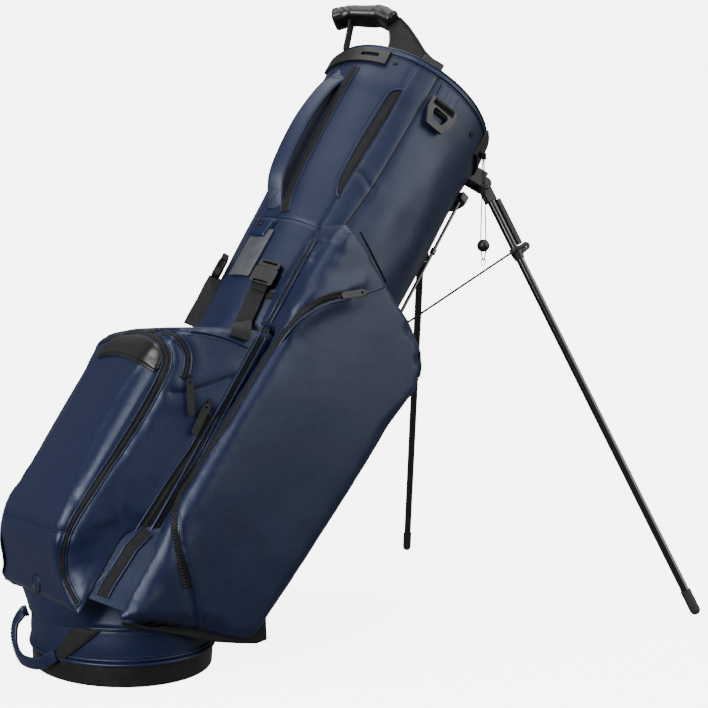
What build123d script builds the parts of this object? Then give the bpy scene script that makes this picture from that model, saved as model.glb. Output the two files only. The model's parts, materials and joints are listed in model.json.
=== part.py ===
"""Golf stand bag on its two deployed legs: every rigid piece at real size, soft goods as
closed solids.  Millimetres, +Z up.  Origin: centre of the foot of the base, on the floor.
+X is the way the bag leans, the legs spread towards -Y (near) and +Y (far)."""
from build123d import *
import math
import os

os.makedirs("parts", exist_ok=True)

# ---------------------------------------------------------------- driving dimensions
LEAN = 32.7             # lean of the tube from vertical, degrees
AXIS_X0 = -8.0          # where the tube's axis meets the floor plane
LENGTH = 884.5          # floor plane to rim, along the axis
A0, A1 = 99.9, 130.4    # tube half-depth (lean direction) at the floor plane and at the rim
B0, B1 = 111.2, 122.7   # tube half-width (Y) there
WALL = 3.6              # padded leather wall
U_CUT = 121.0           # lower end of the tube
U_CUFF = 835.0          # lower edge of the top cuff
CUFF_A, CUFF_B = 131.0, 123.3
CUFF_T = 10.0
BASE_A, BASE_B = 101.9, 129.0
CUP_H = 25.0
COLLAR_TOP = 66.0
HB_X, HB_Z = 60.0, 20.0         # base hinge axis
LEG_V, LEG_Y, LEG_U = 139.5, 66.9, 834.8   # leg hinge in the tube's own coordinates
FOOT = (743.2, 316.1)           # where the leg's line meets the floor
TUBE_R, TUBE_WALL = 6.0, 1.0
FOOT_R = 7.5
PIN_R = 3.0
ROD_R = 2.5

C, S = math.cos(math.radians(LEAN)), math.sin(math.radians(LEAN))
ORG = Vector(AXIS_X0, 0, 0)
UDIR = Vector(S, 0, C)          # up the tube
VDIR = Vector(C, 0, -S)         # towards the underside
YDIR = Vector(0, 1, 0)


def A(u):
    return A0 + (A1 - A0) * u / LENGTH


def B(u):
    return B0 + (B1 - B0) * u / LENGTH


def W(v, y, u):
    """World point of tube coordinates."""
    return ORG + VDIR * v + YDIR * y + UDIR * u


def sec(u):
    """Section plane across the tube: local x is v, local y is Y."""
    return Plane(origin=W(0, 0, u), x_dir=VDIR, z_dir=UDIR)


def side(y):
    """Plane seen from the near side: local x is v, local y is u, normal is -Y."""
    return Plane(origin=W(0, y, 0), x_dir=VDIR, z_dir=Vector(0, -1, 0))


def unit(v):
    return v * (1 / v.length)


def frame_at(p, x_dir, z_dir):
    return Plane(origin=p, x_dir=x_dir, z_dir=z_dir)


def skin(phi, u, off=0.0, grow=0.0):
    """Plane on the tube's (or cuff's) surface: z outwards, y up the tube."""
    a, b = (CUFF_A, CUFF_B) if u >= U_CUFF else (A(u), B(u))
    a, b = a + grow, b + grow
    t = math.radians(phi)
    v, y = a * math.cos(t), b * math.sin(t)
    n = unit(VDIR * (math.cos(t) / a) + YDIR * (math.sin(t) / b))
    x = UDIR.cross(n) * -1
    return Plane(origin=W(v, y, u) + n * off, x_dir=unit(n.cross(UDIR)) * -1, z_dir=n)


def bend_radii(pts, cap):
    """As large a radius at each corner as its two runs allow."""
    out_r = []
    for i in range(1, len(pts) - 1):
        v1, v2 = pts[i - 1] - pts[i], pts[i + 1] - pts[i]
        half = math.radians((180 - v1.get_angle(v2)) / 2)
        out_r.append(min(cap, 0.45 * min(v1.length, v2.length) / math.tan(half)))
    return out_r


def run_length(curve):
    return sum(e.length for e in curve.edges())


def done(builder, name):
    builder.part.label = name
    export_step(builder.part, f"parts/{name}.step")


# ---------------------------------------------------------------- cutters (not written)
with BuildPart() as tube_body:          # the tube's outer shape, filled
    for u in (-60, LENGTH + 40):
        with BuildSketch(sec(u)):
            Ellipse(A(u) + 0.2, B(u) + 0.2)
    loft()

with BuildPart() as cuff_body:
    with BuildSketch(sec(U_CUFF)):
        Ellipse(CUFF_A, CUFF_B)
    extrude(amount=80)

HB_V = (HB_X - AXIS_X0) * C - HB_Z * S
HB_U = (HB_X - AXIS_X0) * S + HB_Z * C
with BuildPart() as base_sweep:         # room the base needs when it swings up under the tube
    with BuildSketch(sec(-40)):
        with Locations((-18, 0)):
            Rectangle(219, 268)
    extrude(amount=U_CUT + 40)

# ---------------------------------------------------------------- tube, cuff, inside
with BuildPart() as shell_tube:
    for u in (U_CUT, U_CUFF):
        with BuildSketch(sec(u)):
            Ellipse(A(u), B(u))
    loft()
    for u in (U_CUT, U_CUFF):
        with BuildSketch(sec(u)):
            Ellipse(A(u) - WALL, B(u) - WALL)
    loft(mode=Mode.SUBTRACT)
done(shell_tube, "shell_tube")

with BuildPart() as top_cuff:
    with BuildSketch(sec(U_CUFF)):
        Ellipse(CUFF_A, CUFF_B)
        Ellipse(CUFF_A - CUFF_T, CUFF_B - CUFF_T, mode=Mode.SUBTRACT)
    extrude(amount=LENGTH - U_CUFF)
    fillet(top_cuff.faces().sort_by(SortBy.AREA)[0:4].edges().filter_by(GeomType.ELLIPSE).sort_by(lambda e: -(e.center() - ORG).dot(UDIR))[0:2], 4)
done(top_cuff, "top_cuff")

GA, GB = CUFF_A - CUFF_T, CUFF_B - CUFF_T
with BuildPart() as club_divider:
    with BuildSketch(sec(842)):
        Ellipse(GA, GB)
        with BuildSketch(sec(842), mode=Mode.PRIVATE) as wells:
            Ellipse(GA - 6, GB - 6)
            Rectangle(8, 300, mode=Mode.SUBTRACT)
            Rectangle(300, 8, mode=Mode.SUBTRACT)
            fillet(wells.vertices(), 9)
        add(wells.sketch, mode=Mode.SUBTRACT)
    extrude(amount=32)
done(club_divider, "club_divider")

with BuildPart() as divider_panels:     # full-length fabric walls between the wells
    for sgn in (1, -1):
        with BuildSketch(Plane(origin=W(0, -0.8, 0), x_dir=VDIR, z_dir=Vector(0, -1, 0))):
            Polygon(*[(sgn * p[0], p[1]) for p in ((4, 130), (A(130) - 8, 130), (A(828) - 8, 828), (4, 828))], align=None)
        extrude(amount=-1.6)
        with BuildSketch(Plane(origin=W(-0.8, 0, 0), x_dir=YDIR, z_dir=VDIR)):
            Polygon(*[(sgn * p[0], p[1]) for p in ((4, 130), (B(130) - 8, 130), (B(828) - 8, 828), (4, 828))], align=None)
        extrude(amount=1.6)
done(divider_panels, "divider_panels")

with BuildPart() as spine_stays:        # stiffening rods inside the wall
    for ph in (45, 135, 225, 315):
        t = math.radians(ph)
        p0 = W((A(146) - WALL - 4) * math.cos(t), (B(146) - WALL - 4) * math.sin(t), 146)
        p1 = W((A(828) - WALL - 4) * math.cos(t), (B(828) - WALL - 4) * math.sin(t), 828)
        with BuildSketch(Plane(origin=p0, z_dir=unit(p1 - p0))):
            Circle(2.5)
        extrude(amount=(p1 - p0).length)
done(spine_stays, "spine_stays")

with BuildPart() as lower_ring:         # moulded ring that stiffens the tube's lower end
    for u in (U_CUT + 1, U_CUT + 22):
        with BuildSketch(sec(u)):
            Ellipse(A(u) - WALL - 0.1, B(u) - WALL - 0.1)
    loft()
    for u in (U_CUT + 1, U_CUT + 22):
        with BuildSketch(sec(u)):
            Ellipse(A(u) - WALL - 4, B(u) - WALL - 4)
    loft(mode=Mode.SUBTRACT)
    # two arms down to the base hinge
    for yy in (-46, 46):
        with BuildSketch(Plane(origin=W(0, yy + 4, 0), x_dir=VDIR, z_dir=Vector(0, -1, 0))):
            with BuildLine():
                Polyline((HB_V - 7, HB_U), (HB_V - 7, 100), (66, 124), (66, 140), (92, 140), (90, 123), (HB_V + 7, 96), (HB_V + 7, HB_U), close=True)
            make_face()
            with Locations((HB_V, HB_U)):
                Circle(7)
        extrude(amount=8)
        with BuildSketch(Plane(origin=W(HB_V, yy + 5, HB_U), x_dir=VDIR, z_dir=Vector(0, -1, 0))):
            Circle(PIN_R + 0.05)
        extrude(amount=10, mode=Mode.SUBTRACT)
with BuildPart() as lower_ring_trim:
    add(lower_ring.part)
    with BuildPart(mode=Mode.PRIVATE) as inner_fill:
        for u in (U_CUT - 0.5, U_CUT + 40):
            with BuildSketch(sec(u)):
                Ellipse(A(u) - WALL - 0.1, B(u) - WALL - 0.1)
        loft()
        with BuildSketch(sec(0)):
            Rectangle(400, 400)
        extrude(amount=U_CUT - 0.5)
    add(inner_fill.part, mode=Mode.INTERSECT)
done(lower_ring_trim, "lower_ring")

# ---------------------------------------------------------------- base
BASE_SC = (COLLAR_TOP - CUP_H)
with BuildPart() as base_cup:
    with BuildSketch(Plane.XY):
        Ellipse(BASE_A, BASE_B)
    with BuildSketch(Plane.XY.offset(CUP_H)):
        Ellipse(BASE_A + 1.6, BASE_B + 1.6)
    loft()
    with BuildSketch(Plane.XY.offset(5)):
        Ellipse(BASE_A - 5, BASE_B - 5)
    extrude(amount=40, mode=Mode.SUBTRACT)
    fillet(base_cup.faces().sort_by(Axis.Z)[0].edges(), 3)
    # hinge lugs standing on the floor plate, either side of each arm
    for yy in (-46, 46):
        for dy in (-8.2, 8.2):
            with BuildSketch(Plane(origin=(HB_X, yy + dy + 3, 5), x_dir=(1, 0, 0), z_dir=(0, -1, 0))):
                with BuildLine():
                    Polyline((-8, -1), (-8, HB_Z - 5), (8, HB_Z - 5), (8, -1), close=True)
                make_face()
                with Locations((0, HB_Z - 5)):
                    Circle(8)
            extrude(amount=6)
    with BuildSketch(Plane(origin=(HB_X, 90, HB_Z), z_dir=(0, -1, 0))):
        Circle(PIN_R)
    extrude(amount=180, mode=Mode.SUBTRACT)
done(base_cup, "base_cup")

with BuildPart() as base_collar:
    with BuildSketch(Plane.XY.offset(CUP_H)):
        Ellipse(BASE_A + 1.6, BASE_B + 1.6)
        Ellipse(BASE_A - 4.5, BASE_B - 4.5, mode=Mode.SUBTRACT)
    extrude(amount=BASE_SC)
    fillet(base_collar.edges().group_by(Axis.Z)[-1], 2)
    for yy in (-46, 46):                 # slots for the two hinge arms
        with BuildSketch(Plane.XY.offset(44)):
            with Locations((100, yy)):
                Rectangle(44, 11.4)
        extrude(amount=40, mode=Mode.SUBTRACT)
done(base_collar, "base_collar")

with BuildPart() as base_hinge_pins:
    for yy in (-46, 46):
        with BuildSketch(Plane(origin=(HB_X, yy + 11.2, HB_Z), z_dir=(0, -1, 0))):
            Circle(PIN_R)
        extrude(amount=22.4)
done(base_hinge_pins, "base_hinge_pins")

with BuildPart() as base_pad:           # foam pad the clubs stand on
    with BuildSketch(Plane.XY.offset(5)):
        with Locations((-22, 0)):
            Ellipse(70, 110)
    extrude(amount=5)
done(base_pad, "base_pad")

with BuildPart() as base_gusset:        # flexible skirt between the tube and the hinged base
    with BuildSketch(Plane.XY.offset(COLLAR_TOP + 0.4)):
        with Locations((4, 0)):
            Ellipse(103, 125)
    with BuildSketch(sec(U_CUT - 0.4)):
        Ellipse(A(U_CUT) - 1.5, B(U_CUT) - 1.5)
    loft()
    with BuildSketch(Plane.XY.offset(COLLAR_TOP + 0.4)):
        with Locations((4, 0)):
            Ellipse(100.5, 122.5)
    with BuildSketch(sec(U_CUT - 0.4)):
        Ellipse(A(U_CUT) - 4, B(U_CUT) - 4)
    loft(mode=Mode.SUBTRACT)
    for yy in (-46, 46):                 # openings for the two hinge arms
        with BuildSketch(Plane.XY.offset(30)):
            with Locations((125, yy)):
                Rectangle(70, 12.4)
        extrude(amount=60, mode=Mode.SUBTRACT)
done(base_gusset, "base_gusset")

# carry loop on the low end of the base: leather loop and the webbing behind it
def ring_strip(rad_off, thick, a0, a1, z0, z1, name_plane=Plane.XY):
    with BuildPart(mode=Mode.PRIVATE) as strip:
        with BuildSketch(Plane.XY.offset(z0)):
            Ellipse(BASE_A + rad_off + thick, BASE_B + rad_off + thick)
            Ellipse(BASE_A + rad_off, BASE_B + rad_off, mode=Mode.SUBTRACT)
            with BuildSketch(mode=Mode.PRIVATE) as wedge:
                pts = [(0, 0)]
                n = 8
                for i in range(n + 1):
                    t = math.radians(a0 + (a1 - a0) * i / n)
                    pts.append((400 * math.cos(t), 400 * math.sin(t)))
                Polygon(*pts, align=None)
            add(wedge.sketch, mode=Mode.INTERSECT)
        extrude(amount=z1 - z0)
    return strip.part


def strap(points, width, thick, width_dir):
    """Flat webbing along straight runs: one box per run, joined at the bends."""
    with BuildPart(mode=Mode.PRIVATE) as s:
        for p, q in zip(points, points[1:]):
            d = q - p
            z = unit(d)
            w = unit(width_dir - z * width_dir.dot(z))
            with BuildSketch(Plane(origin=p, x_dir=w, z_dir=z)):
                Rectangle(width, thick)
            extrude(amount=d.length)
        for p in points[1:-1]:
            w = unit(width_dir)
            with BuildSketch(Plane(origin=p - w * (width / 2), z_dir=w)):
                Circle(thick / 2)
            extrude(amount=width)
    return s.part


with BuildPart() as base_webbing:
    add(ring_strip(1.7, 2.0, 188, 236, 22, 65.6))
    with BuildSketch(Plane(origin=(-92, -62, 45), x_dir=(0.6, -0.8, 0), z_dir=(-0.8, -0.6, 0))):
        Polygon((5.2, 21), (37.9, 20), (-14.4, -20), (-29.5, -16), align=None)
    extrude(amount=60, both=True, mode=Mode.INTERSECT)
done(base_webbing, "base_webbing")

with BuildPart() as base_loop:          # leather carry loop, bowed out and down
    with BuildLine() as loop_line:
        FilletPolyline((-103, -37, 31), (-110, -20, 20), (-113, 8, 12), (-114, 38, 13), (-112, 60, 27), (-109, 66, 50), (-96, 64, 62), radius=9)
    with BuildSketch(Plane(origin=loop_line.line @ 0, z_dir=loop_line.line % 0, x_dir=(1, 0.6, 0.3))):
        RectangleRounded(4.4, 15, 2)
    sweep(transition=Transition.RIGHT)
    with BuildSketch(Plane.XY.offset(2)):
        Ellipse(BASE_A + 2.0, BASE_B + 2.0)
    extrude(amount=66, mode=Mode.SUBTRACT)
    add(base_webbing.part, mode=Mode.SUBTRACT)
done(base_loop, "base_loop")

# ---------------------------------------------------------------- pockets
with BuildPart() as ball_pocket:
    with BuildSketch(side(140)):
        Polygon((-60, 425), (-100, 414), (-120, 405), (-156, 384), (-187, 357), (-198, 333), (-200, 305), (-196, 96), (-190, 72), (-170, 49), (-140, 27), (-127.8, 22), (-127.8, 125), (-60, 125), align=None)
    extrude(amount=280)
    with BuildSketch(sec(-20)):
        Polygon((-40, -119), (-106, -119), (-150, -105), (-190, -92), (-199, -80), (-203, -40), (-203, 40), (-199, 80), (-190, 92), (-150, 105), (-106, 119), (-40, 119), align=None)
    extrude(amount=480, mode=Mode.INTERSECT)
    add(tube_body.part, mode=Mode.SUBTRACT)
    add(base_sweep.part, mode=Mode.SUBTRACT)
done(ball_pocket, "ball_pocket")

SIDE_OUT = [(-83, 593), (-35, 583), (15, 564), (75.5, 544), (108, 522), (123, 501), (132, 471), (129, 445), (120.6, 405), (107, 294.5), (90, 181.5), (83.7, 138), (78, 105.6), (71, 89.4), (60, 80), (32.4, 71.3), (-3, 64), (-62.5, 47.7), (-104, 37), (-104, 97), (-104, 178), (-100, 291), (-90, 403), (-96.5, 492), (-92, 556)]
with BuildPart() as side_pocket:
    with BuildSketch(side(-78)):
        Polygon(*SIDE_OUT, align=None)
    extrude(amount=72)
    chamfer(side_pocket.faces().sort_by(Axis.Y)[0].edges(), 9)
    add(tube_body.part, mode=Mode.SUBTRACT)
    add(base_sweep.part, mode=Mode.SUBTRACT)
    with BuildPart(mode=Mode.PRIVATE) as bp_zone:       # leaves the ball pocket its place
        with BuildSketch(sec(0)):
            Polygon((-40, -119.3), (-106, -119.3), (-150, -105.3), (-190, -92.3), (-200, 0), (-40, 0), align=None)
        extrude(amount=430)
    add(bp_zone.part, mode=Mode.SUBTRACT)
done(side_pocket, "side_pocket")

FAR_OUT = [(-24, 508), (40, 496), (84, 470), (104, 430), (102, 400), (92, 290), (78, 180), (70, 120), (56, 92), (0, 76), (-34, 74), (-40, 120), (-40, 300), (-34, 470)]
with BuildPart() as far_pocket:
    with BuildSketch(side(138)):
        Polygon(*FAR_OUT, align=None)
    extrude(amount=62)
    chamfer(far_pocket.faces().sort_by(Axis.Y)[-1].edges(), 8)
    add(tube_body.part, mode=Mode.SUBTRACT)
    add(base_sweep.part, mode=Mode.SUBTRACT)
    with BuildPart(mode=Mode.PRIVATE) as bp_zone2:
        with BuildSketch(sec(0)):
            Polygon((-40, 119.3), (-106, 119.3), (-150, 105.3), (-200, 0), (-40, 0), align=None)
        extrude(amount=430)
    add(bp_zone2.part, mode=Mode.SUBTRACT)
done(far_pocket, "far_pocket")

# ---------------------------------------------------------------- cuff fittings
def sector(a_in, b_in, thick, a0, a1, u0, u1):
    with BuildPart(mode=Mode.PRIVATE) as s:
        with BuildSketch(sec(u0)) as sk:
            Ellipse(a_in + thick, b_in + thick)
            Ellipse(a_in, b_in, mode=Mode.SUBTRACT)
            with BuildSketch(sec(u0), mode=Mode.PRIVATE) as wedge:
                pts = [(0, 0)]
                for i in range(9):
                    t = math.radians(a0 + (a1 - a0) * i / 8)
                    pts.append((300 * math.cos(t), 300 * math.sin(t)))
                Polygon(*pts, align=None)
            add(wedge.sketch, mode=Mode.INTERSECT)
        extrude(amount=u1 - u0)
    return s.part


with BuildPart() as rim_plate:
    add(sector(CUFF_A, CUFF_B, 4.5, 158, 216, 852, 874))
    with BuildSketch(skin(203, 864, -5, 0)):
        SlotOverall(30, 6)
    extrude(amount=20, mode=Mode.SUBTRACT)
done(rim_plate, "rim_plate")

with BuildPart() as cuff_rivets:
    for ph, u in ((221, 862), (290, 846), (139, 862), (70, 846)):
        with BuildSketch(skin(ph, u)):
            Circle(4)
        extrude(amount=1.2)
        with BuildSketch(skin(ph, u, 1.2)):
            Circle(2.6)
        extrude(amount=0.9, taper=20)
    add(cuff_body.part, mode=Mode.SUBTRACT)
done(cuff_rivets, "cuff_rivets")

with BuildPart() as handle_anchor:      # moulded clip that holds the top handle to the rim
    pl = skin(242, 884.8)
    with BuildSketch(Plane(origin=pl.origin - pl.z_dir * 5, x_dir=pl.x_dir, z_dir=UDIR)):
        RectangleRounded(32, 8.6, 2.5)
    extrude(amount=9.5)
done(handle_anchor, "handle_anchor")

# ---------------------------------------------------------------- top handle
HP0, HP1 = (-129.0, 15.0), (-60.0, -106.0)
HC = ((HP1[0] - HP0[0]) / 139.29, (HP1[1] - HP0[1]) / 139.29)
HN = VDIR * HC[1] * -1 + YDIR * HC[0]       # across the handle's plane


HS = 1 if HN.cross(VDIR * HC[0] + YDIR * HC[1]).dot(UDIR) > 0 else -1


def H(t, u):
    return W(HP0[0] + t * HC[0], HP0[1] + t * HC[1], u)


with BuildPart() as top_handle_grip:
    with BuildLine() as grip_line:
        FilletPolyline(H(-43, 936), H(-16, 949), H(28, 956), H(50, 948), radius=26)
    with BuildSketch(Plane(origin=grip_line.line @ 0, z_dir=grip_line.line % 0, x_dir=HN)):
        RectangleRounded(30, 20, 7)
    sweep()
done(top_handle_grip, "top_handle_grip")

with BuildPart() as top_handle_straps:
    with BuildSketch(Plane(origin=H(0, 0) - HN * 1.3, x_dir=VDIR * HC[0] + YDIR * HC[1], z_dir=HN)):
        with BuildLine():
            Polyline((46, HS * 938), (46, HS * 958), (58, HS * 956), (76, HS * 944), (100, HS * 923.5), (120, HS * 905), (137, HS * 894), (137, HS * 888), (118, HS * 889), (90, HS * 891), (66, HS * 891), (60, HS * 915), close=True)
        make_face()
    extrude(amount=2.6)
    add(strap([H(2, 880), H(-14, 933)], 18, 2.6, HN))
    add(top_cuff.part, mode=Mode.SUBTRACT)
    with BuildSketch(sec(LENGTH - 30)):
        Ellipse(CUFF_A, CUFF_B)
    extrude(amount=30, mode=Mode.SUBTRACT)
    add(handle_anchor.part, mode=Mode.SUBTRACT)
    add(top_handle_grip.part, mode=Mode.SUBTRACT)
done(top_handle_straps, "top_handle_straps")

# ---------------------------------------------------------------- spine: grab handle, plate
with BuildPart() as grab_handle:
    with BuildLine() as grab_line:
        FilletPolyline(W(-125, -12, 833), W(-140, -12, 796), W(-147, -12, 742), W(-146, -12, 690), W(-140, -12, 647), W(-117, -12, 612), radius=22)
    with BuildSketch(Plane(origin=grab_line.line @ 0, z_dir=grab_line.line % 0, x_dir=YDIR)):
        RectangleRounded(20, 6, 2.5)
    sweep()
    add(tube_body.part, mode=Mode.SUBTRACT)
done(grab_handle, "grab_handle")

with BuildPart() as spine_plate:
    add(sector(A(566) + 0.4, B(566) + 0.4, 2.4, 179, 199, 492, 566))
done(spine_plate, "spine_plate")

# ---------------------------------------------------------------- side release buckles
def buckle(pl, tag):
    """pl: centre of the buckle, x across, y towards the plug, z outwards."""
    def on(x, y, z, zd=None):
        return Plane(origin=pl.origin + pl.x_dir * x + pl.y_dir * y + pl.z_dir * z, x_dir=pl.x_dir, z_dir=pl.z_dir)
    with BuildPart() as socket:
        with BuildSketch(on(0, -8, 0.4)):
            RectangleRounded(34, 24, 4)
        extrude(amount=9.6)
        with BuildSketch(on(0, -3, 2.4)):
            Rectangle(27, 22)
        extrude(amount=5.6, mode=Mode.SUBTRACT)
        with BuildSketch(on(0, -17, -1)):
            Rectangle(22, 3.2)
        extrude(amount=14, mode=Mode.SUBTRACT)
        for sx in (-17, 17):
            with BuildSketch(on(sx, -2.75, 2.4)):
                Rectangle(8.5, 12.5)
            extrude(amount=5.6, mode=Mode.SUBTRACT)
    done(socket, f"buckle_socket_{tag}")
    with BuildPart() as plug:
        with BuildSketch(on(0, 9.5, 0.9)):
            RectangleRounded(31, 10, 3)
            with Locations((0, 1.5)):
                Rectangle(22, 3, mode=Mode.SUBTRACT)
        extrude(amount=8.6)
        for sx in (-1, 1):
            with BuildSketch(on(sx * 10.4, -2.5, 2.9)):
                Rectangle(4.6, 16)
                with Locations((sx * 1.3, 1)):
                    Rectangle(3.2, 8)
            extrude(amount=4.6)
        with BuildSketch(on(0, -2.5, 3.4)):
            Rectangle(5, 16)
        extrude(amount=3.6)
    done(plug, f"buckle_plug_{tag}")


buckle(Plane(origin=skin(210, 503).origin + skin(210, 503).z_dir * 0.8, x_dir=skin(210, 503).x_dir, z_dir=skin(210, 503).z_dir), "near")
LB_N = unit(VDIR * -0.86 + YDIR * 0.5)
buckle(Plane(origin=W(-114.5, 40, 511), x_dir=unit(UDIR.cross(LB_N)), z_dir=LB_N), "far")

with BuildPart() as buckle_webbing:     # lower straps, from the sockets to the ball pocket
    s = skin(210, 481.6, 3.4)
    e = skin(212, 420, 4)
    add(strap([s.origin, e.origin], 18, 1.8, s.x_dir))
    lb = W(-114.5, 40, 511) + LB_N * 3.6
    add(strap([lb - UDIR * 21, W(-112.5, 46, 424)], 18, 1.8, unit(UDIR.cross(LB_N))))
    add(tube_body.part, mode=Mode.SUBTRACT)
    add(ball_pocket.part, mode=Mode.SUBTRACT)
done(buckle_webbing, "buckle_webbing")

# ---------------------------------------------------------------- towel ring and its tab
TR = skin(260, 818, 6.4)
TRP = Plane(origin=TR.origin, x_dir=TR.x_dir, z_dir=TR.z_dir)


def tr(x, y, z):
    return TRP.origin + TRP.x_dir * x + TRP.y_dir * y + TRP.z_dir * z


with BuildPart() as towel_ring:
    with BuildSketch(Plane(origin=tr(0, 0, -2.4), x_dir=TRP.x_dir, z_dir=TRP.z_dir)):
        with BuildLine():
            Polyline((-23, 22), (-23, 2), (-14, -20), (14, -20), (23, 2), (23, 22), close=True)
        make_face()
        with BuildLine():
            Polyline((-12, 8), (-13, 2), (-8, -10), (8, -10), (13, 2), (12, 8), close=True)
        make_face(mode=Mode.SUBTRACT)
    extrude(amount=4.8)
    fillet(towel_ring.edges().filter_by(lambda e: abs(unit(e % 0).dot(TRP.z_dir)) > 0.99 and e.length > 4), 3.5)
    # slot for the leather tab; the bar above it is round
    with BuildSketch(Plane(origin=tr(0, 16.6, -4), x_dir=TRP.x_dir, z_dir=TRP.z_dir)):
        Rectangle(36, 12.0)
    extrude(amount=8, mode=Mode.SUBTRACT)
    with BuildSketch(Plane(origin=tr(-18.5, 18.5, 0), z_dir=TRP.x_dir)):
        Circle(2.3)
    extrude(amount=37)
done(towel_ring, "towel_ring")

with BuildPart() as towel_tab:
    with BuildSketch(Plane(origin=tr(-16.5, 18.5, 0), x_dir=TRP.y_dir, z_dir=TRP.x_dir)):
        Circle(3.9)
    extrude(amount=33)
    with BuildSketch(Plane(origin=tr(0, 18.5 + 17, -5.2), x_dir=TRP.x_dir, z_dir=TRP.z_dir)):
        Rectangle(33, 34)
    extrude(amount=3.8)
    with BuildSketch(Plane(origin=tr(-30, 18.5, 0), x_dir=TRP.y_dir, z_dir=TRP.x_dir)):
        Circle(2.36)
    extrude(amount=60, mode=Mode.SUBTRACT)
    add(cuff_body.part, mode=Mode.SUBTRACT)
    add(tube_body.part, mode=Mode.SUBTRACT)
done(towel_tab, "towel_tab")

# ---------------------------------------------------------------- legs and their bracket
def leg_frame(sy):
    h = W(LEG_V, sy * LEG_Y, LEG_U)
    foot = Vector(FOOT[0], sy * FOOT[1], 0)
    d = unit(foot - h)
    fold = UDIR * -1
    n = unit(d.cross(fold))
    return h, d, n


LEG_LEN = {}
for sy, tag in ((-1, "near"), (1, "far")):
    h, d, n = leg_frame(sy)
    q = n.cross(d)                       # in the leg's swing plane, away from the tube when open
    s_foot = (h.Z - FOOT_R) / -d.Z       # centre of the rubber tip
    LEG_LEN[tag] = s_foot
    n_out = n * (1 if n.Y * sy > 0 else -1)

    with BuildPart() as knuckle:
        with BuildSketch(Plane(origin=h - n * 6.8, x_dir=d, z_dir=n)):
            Circle(8.5)
            with Locations((14, 0)):
                Rectangle(28, 15)
        extrude(amount=13.6)
        with BuildSketch(Plane(origin=h - n * 10, x_dir=d, z_dir=n)):
            Circle(PIN_R + 0.06)
        extrude(amount=20, mode=Mode.SUBTRACT)
        with BuildSketch(Plane(origin=h + d * 14, x_dir=q, z_dir=d)):
            Circle(TUBE_R)
        extrude(amount=20, mode=Mode.SUBTRACT)
    done(knuckle, f"leg_{tag}_knuckle")

    with BuildPart() as tube:
        with BuildSketch(Plane(origin=h + d * 14, x_dir=q, z_dir=d)):
            Circle(TUBE_R)
            Circle(TUBE_R - TUBE_WALL, mode=Mode.SUBTRACT)
        extrude(amount=s_foot - 14 - 2)
    done(tube, f"leg_{tag}_tube")

    with BuildPart() as arm:             # moulded arm along the outer side of the tube
        with BuildSketch(Plane(origin=h + d * 28.2, x_dir=q, z_dir=d)):
            with Locations((-11.0, 0)):
                RectangleRounded(8, 9, 2)
        extrude(amount=103.2 - 28.2)
    done(arm, f"leg_{tag}_arm")

    with BuildPart() as collar:
        with BuildSketch(Plane(origin=h + d * 106, x_dir=q, z_dir=d)):
            Circle(9.2)
            with Locations((-9.5, 0)):
                RectangleRounded(12, 11, 3)
        extrude(amount=9)
        with BuildSketch(Plane(origin=h + d * 115, x_dir=q, z_dir=d)):
            Circle(9.2)
        extrude(amount=10, taper=10)
        with BuildSketch(Plane(origin=h + d * 106 + n * 3, x_dir=q, z_dir=n * -1)):     # cord lug
            with Locations((-18, 4)):
                Circle(6.5)
            with BuildLine():
                Polyline((-6, 0), (-18, -2.5), (-18, 10.5), (-6, 14), close=True)
            make_face()
        extrude(amount=6)
        with BuildSketch(Plane(origin=h + d * 106 + n * 6, x_dir=q, z_dir=n * -1)):
            with Locations((-19, 4)):
                Circle(2.4)
        extrude(amount=12, mode=Mode.SUBTRACT)
        with BuildSketch(Plane(origin=h + d * 100, x_dir=q, z_dir=d)):
            Circle(TUBE_R)
        extrude(amount=40, mode=Mode.SUBTRACT)
    done(collar, f"leg_{tag}_collar")

    with BuildPart() as foot:
        with BuildSketch(Plane(origin=h + d * (s_foot - 30), x_dir=q, z_dir=d)):
            Circle(FOOT_R)
        extrude(amount=30 + FOOT_R - 0.2)
        fillet(foot.edges().filter_by(GeomType.CIRCLE).sort_by(Axis.Z)[0], FOOT_R - 0.2)
        with BuildSketch(Plane(origin=h + d * (s_foot - 31), x_dir=q, z_dir=d)):
            Circle(TUBE_R)
        extrude(amount=29, mode=Mode.SUBTRACT)
    done(foot, f"leg_{tag}_foot")

with BuildPart() as leg_bracket:         # saddle on the cuff with two clevises
    add(sector(CUFF_A, CUFF_B, 5, -52, 52, U_CUFF + 0.5, 881))
    for sy in (-1, 1):
        h, d, n = leg_frame(sy)
        inw = VDIR * -1
        e = unit(inw - n * inw.dot(n))
        for off in (-12.1, 7.1):
            with BuildSketch(Plane(origin=h + n * off, x_dir=e, z_dir=n)):
                Circle(9)
                with Locations((19, 0)):
                    Rectangle(38, 18)
                with Locations((16, 9 if (n.cross(e)).dot(UDIR) > 0 else -9)):
                    Rectangle(26, 14)
            extrude(amount=5)
    # hook the cord lanyard's tab is riveted to is part of the cuff, not of this bracket
    add(cuff_body.part, mode=Mode.SUBTRACT)
    add(tube_body.part, mode=Mode.SUBTRACT)
    with BuildSketch(sec(U_CUFF - 60)):
        Ellipse(CUFF_A, CUFF_B)
    extrude(amount=60, mode=Mode.SUBTRACT)
    for sy in (-1, 1):
        h, d, n = leg_frame(sy)
        with BuildSketch(Plane(origin=h - n * 6.9, x_dir=d, z_dir=n)):   # room for the knuckle
            Circle(11)
        extrude(amount=13.8, mode=Mode.SUBTRACT)
        with BuildSketch(Plane(origin=h - n * 30, x_dir=d, z_dir=n)):
            Circle(PIN_R)
        extrude(amount=60, mode=Mode.SUBTRACT)
done(leg_bracket, "leg_bracket")

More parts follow.
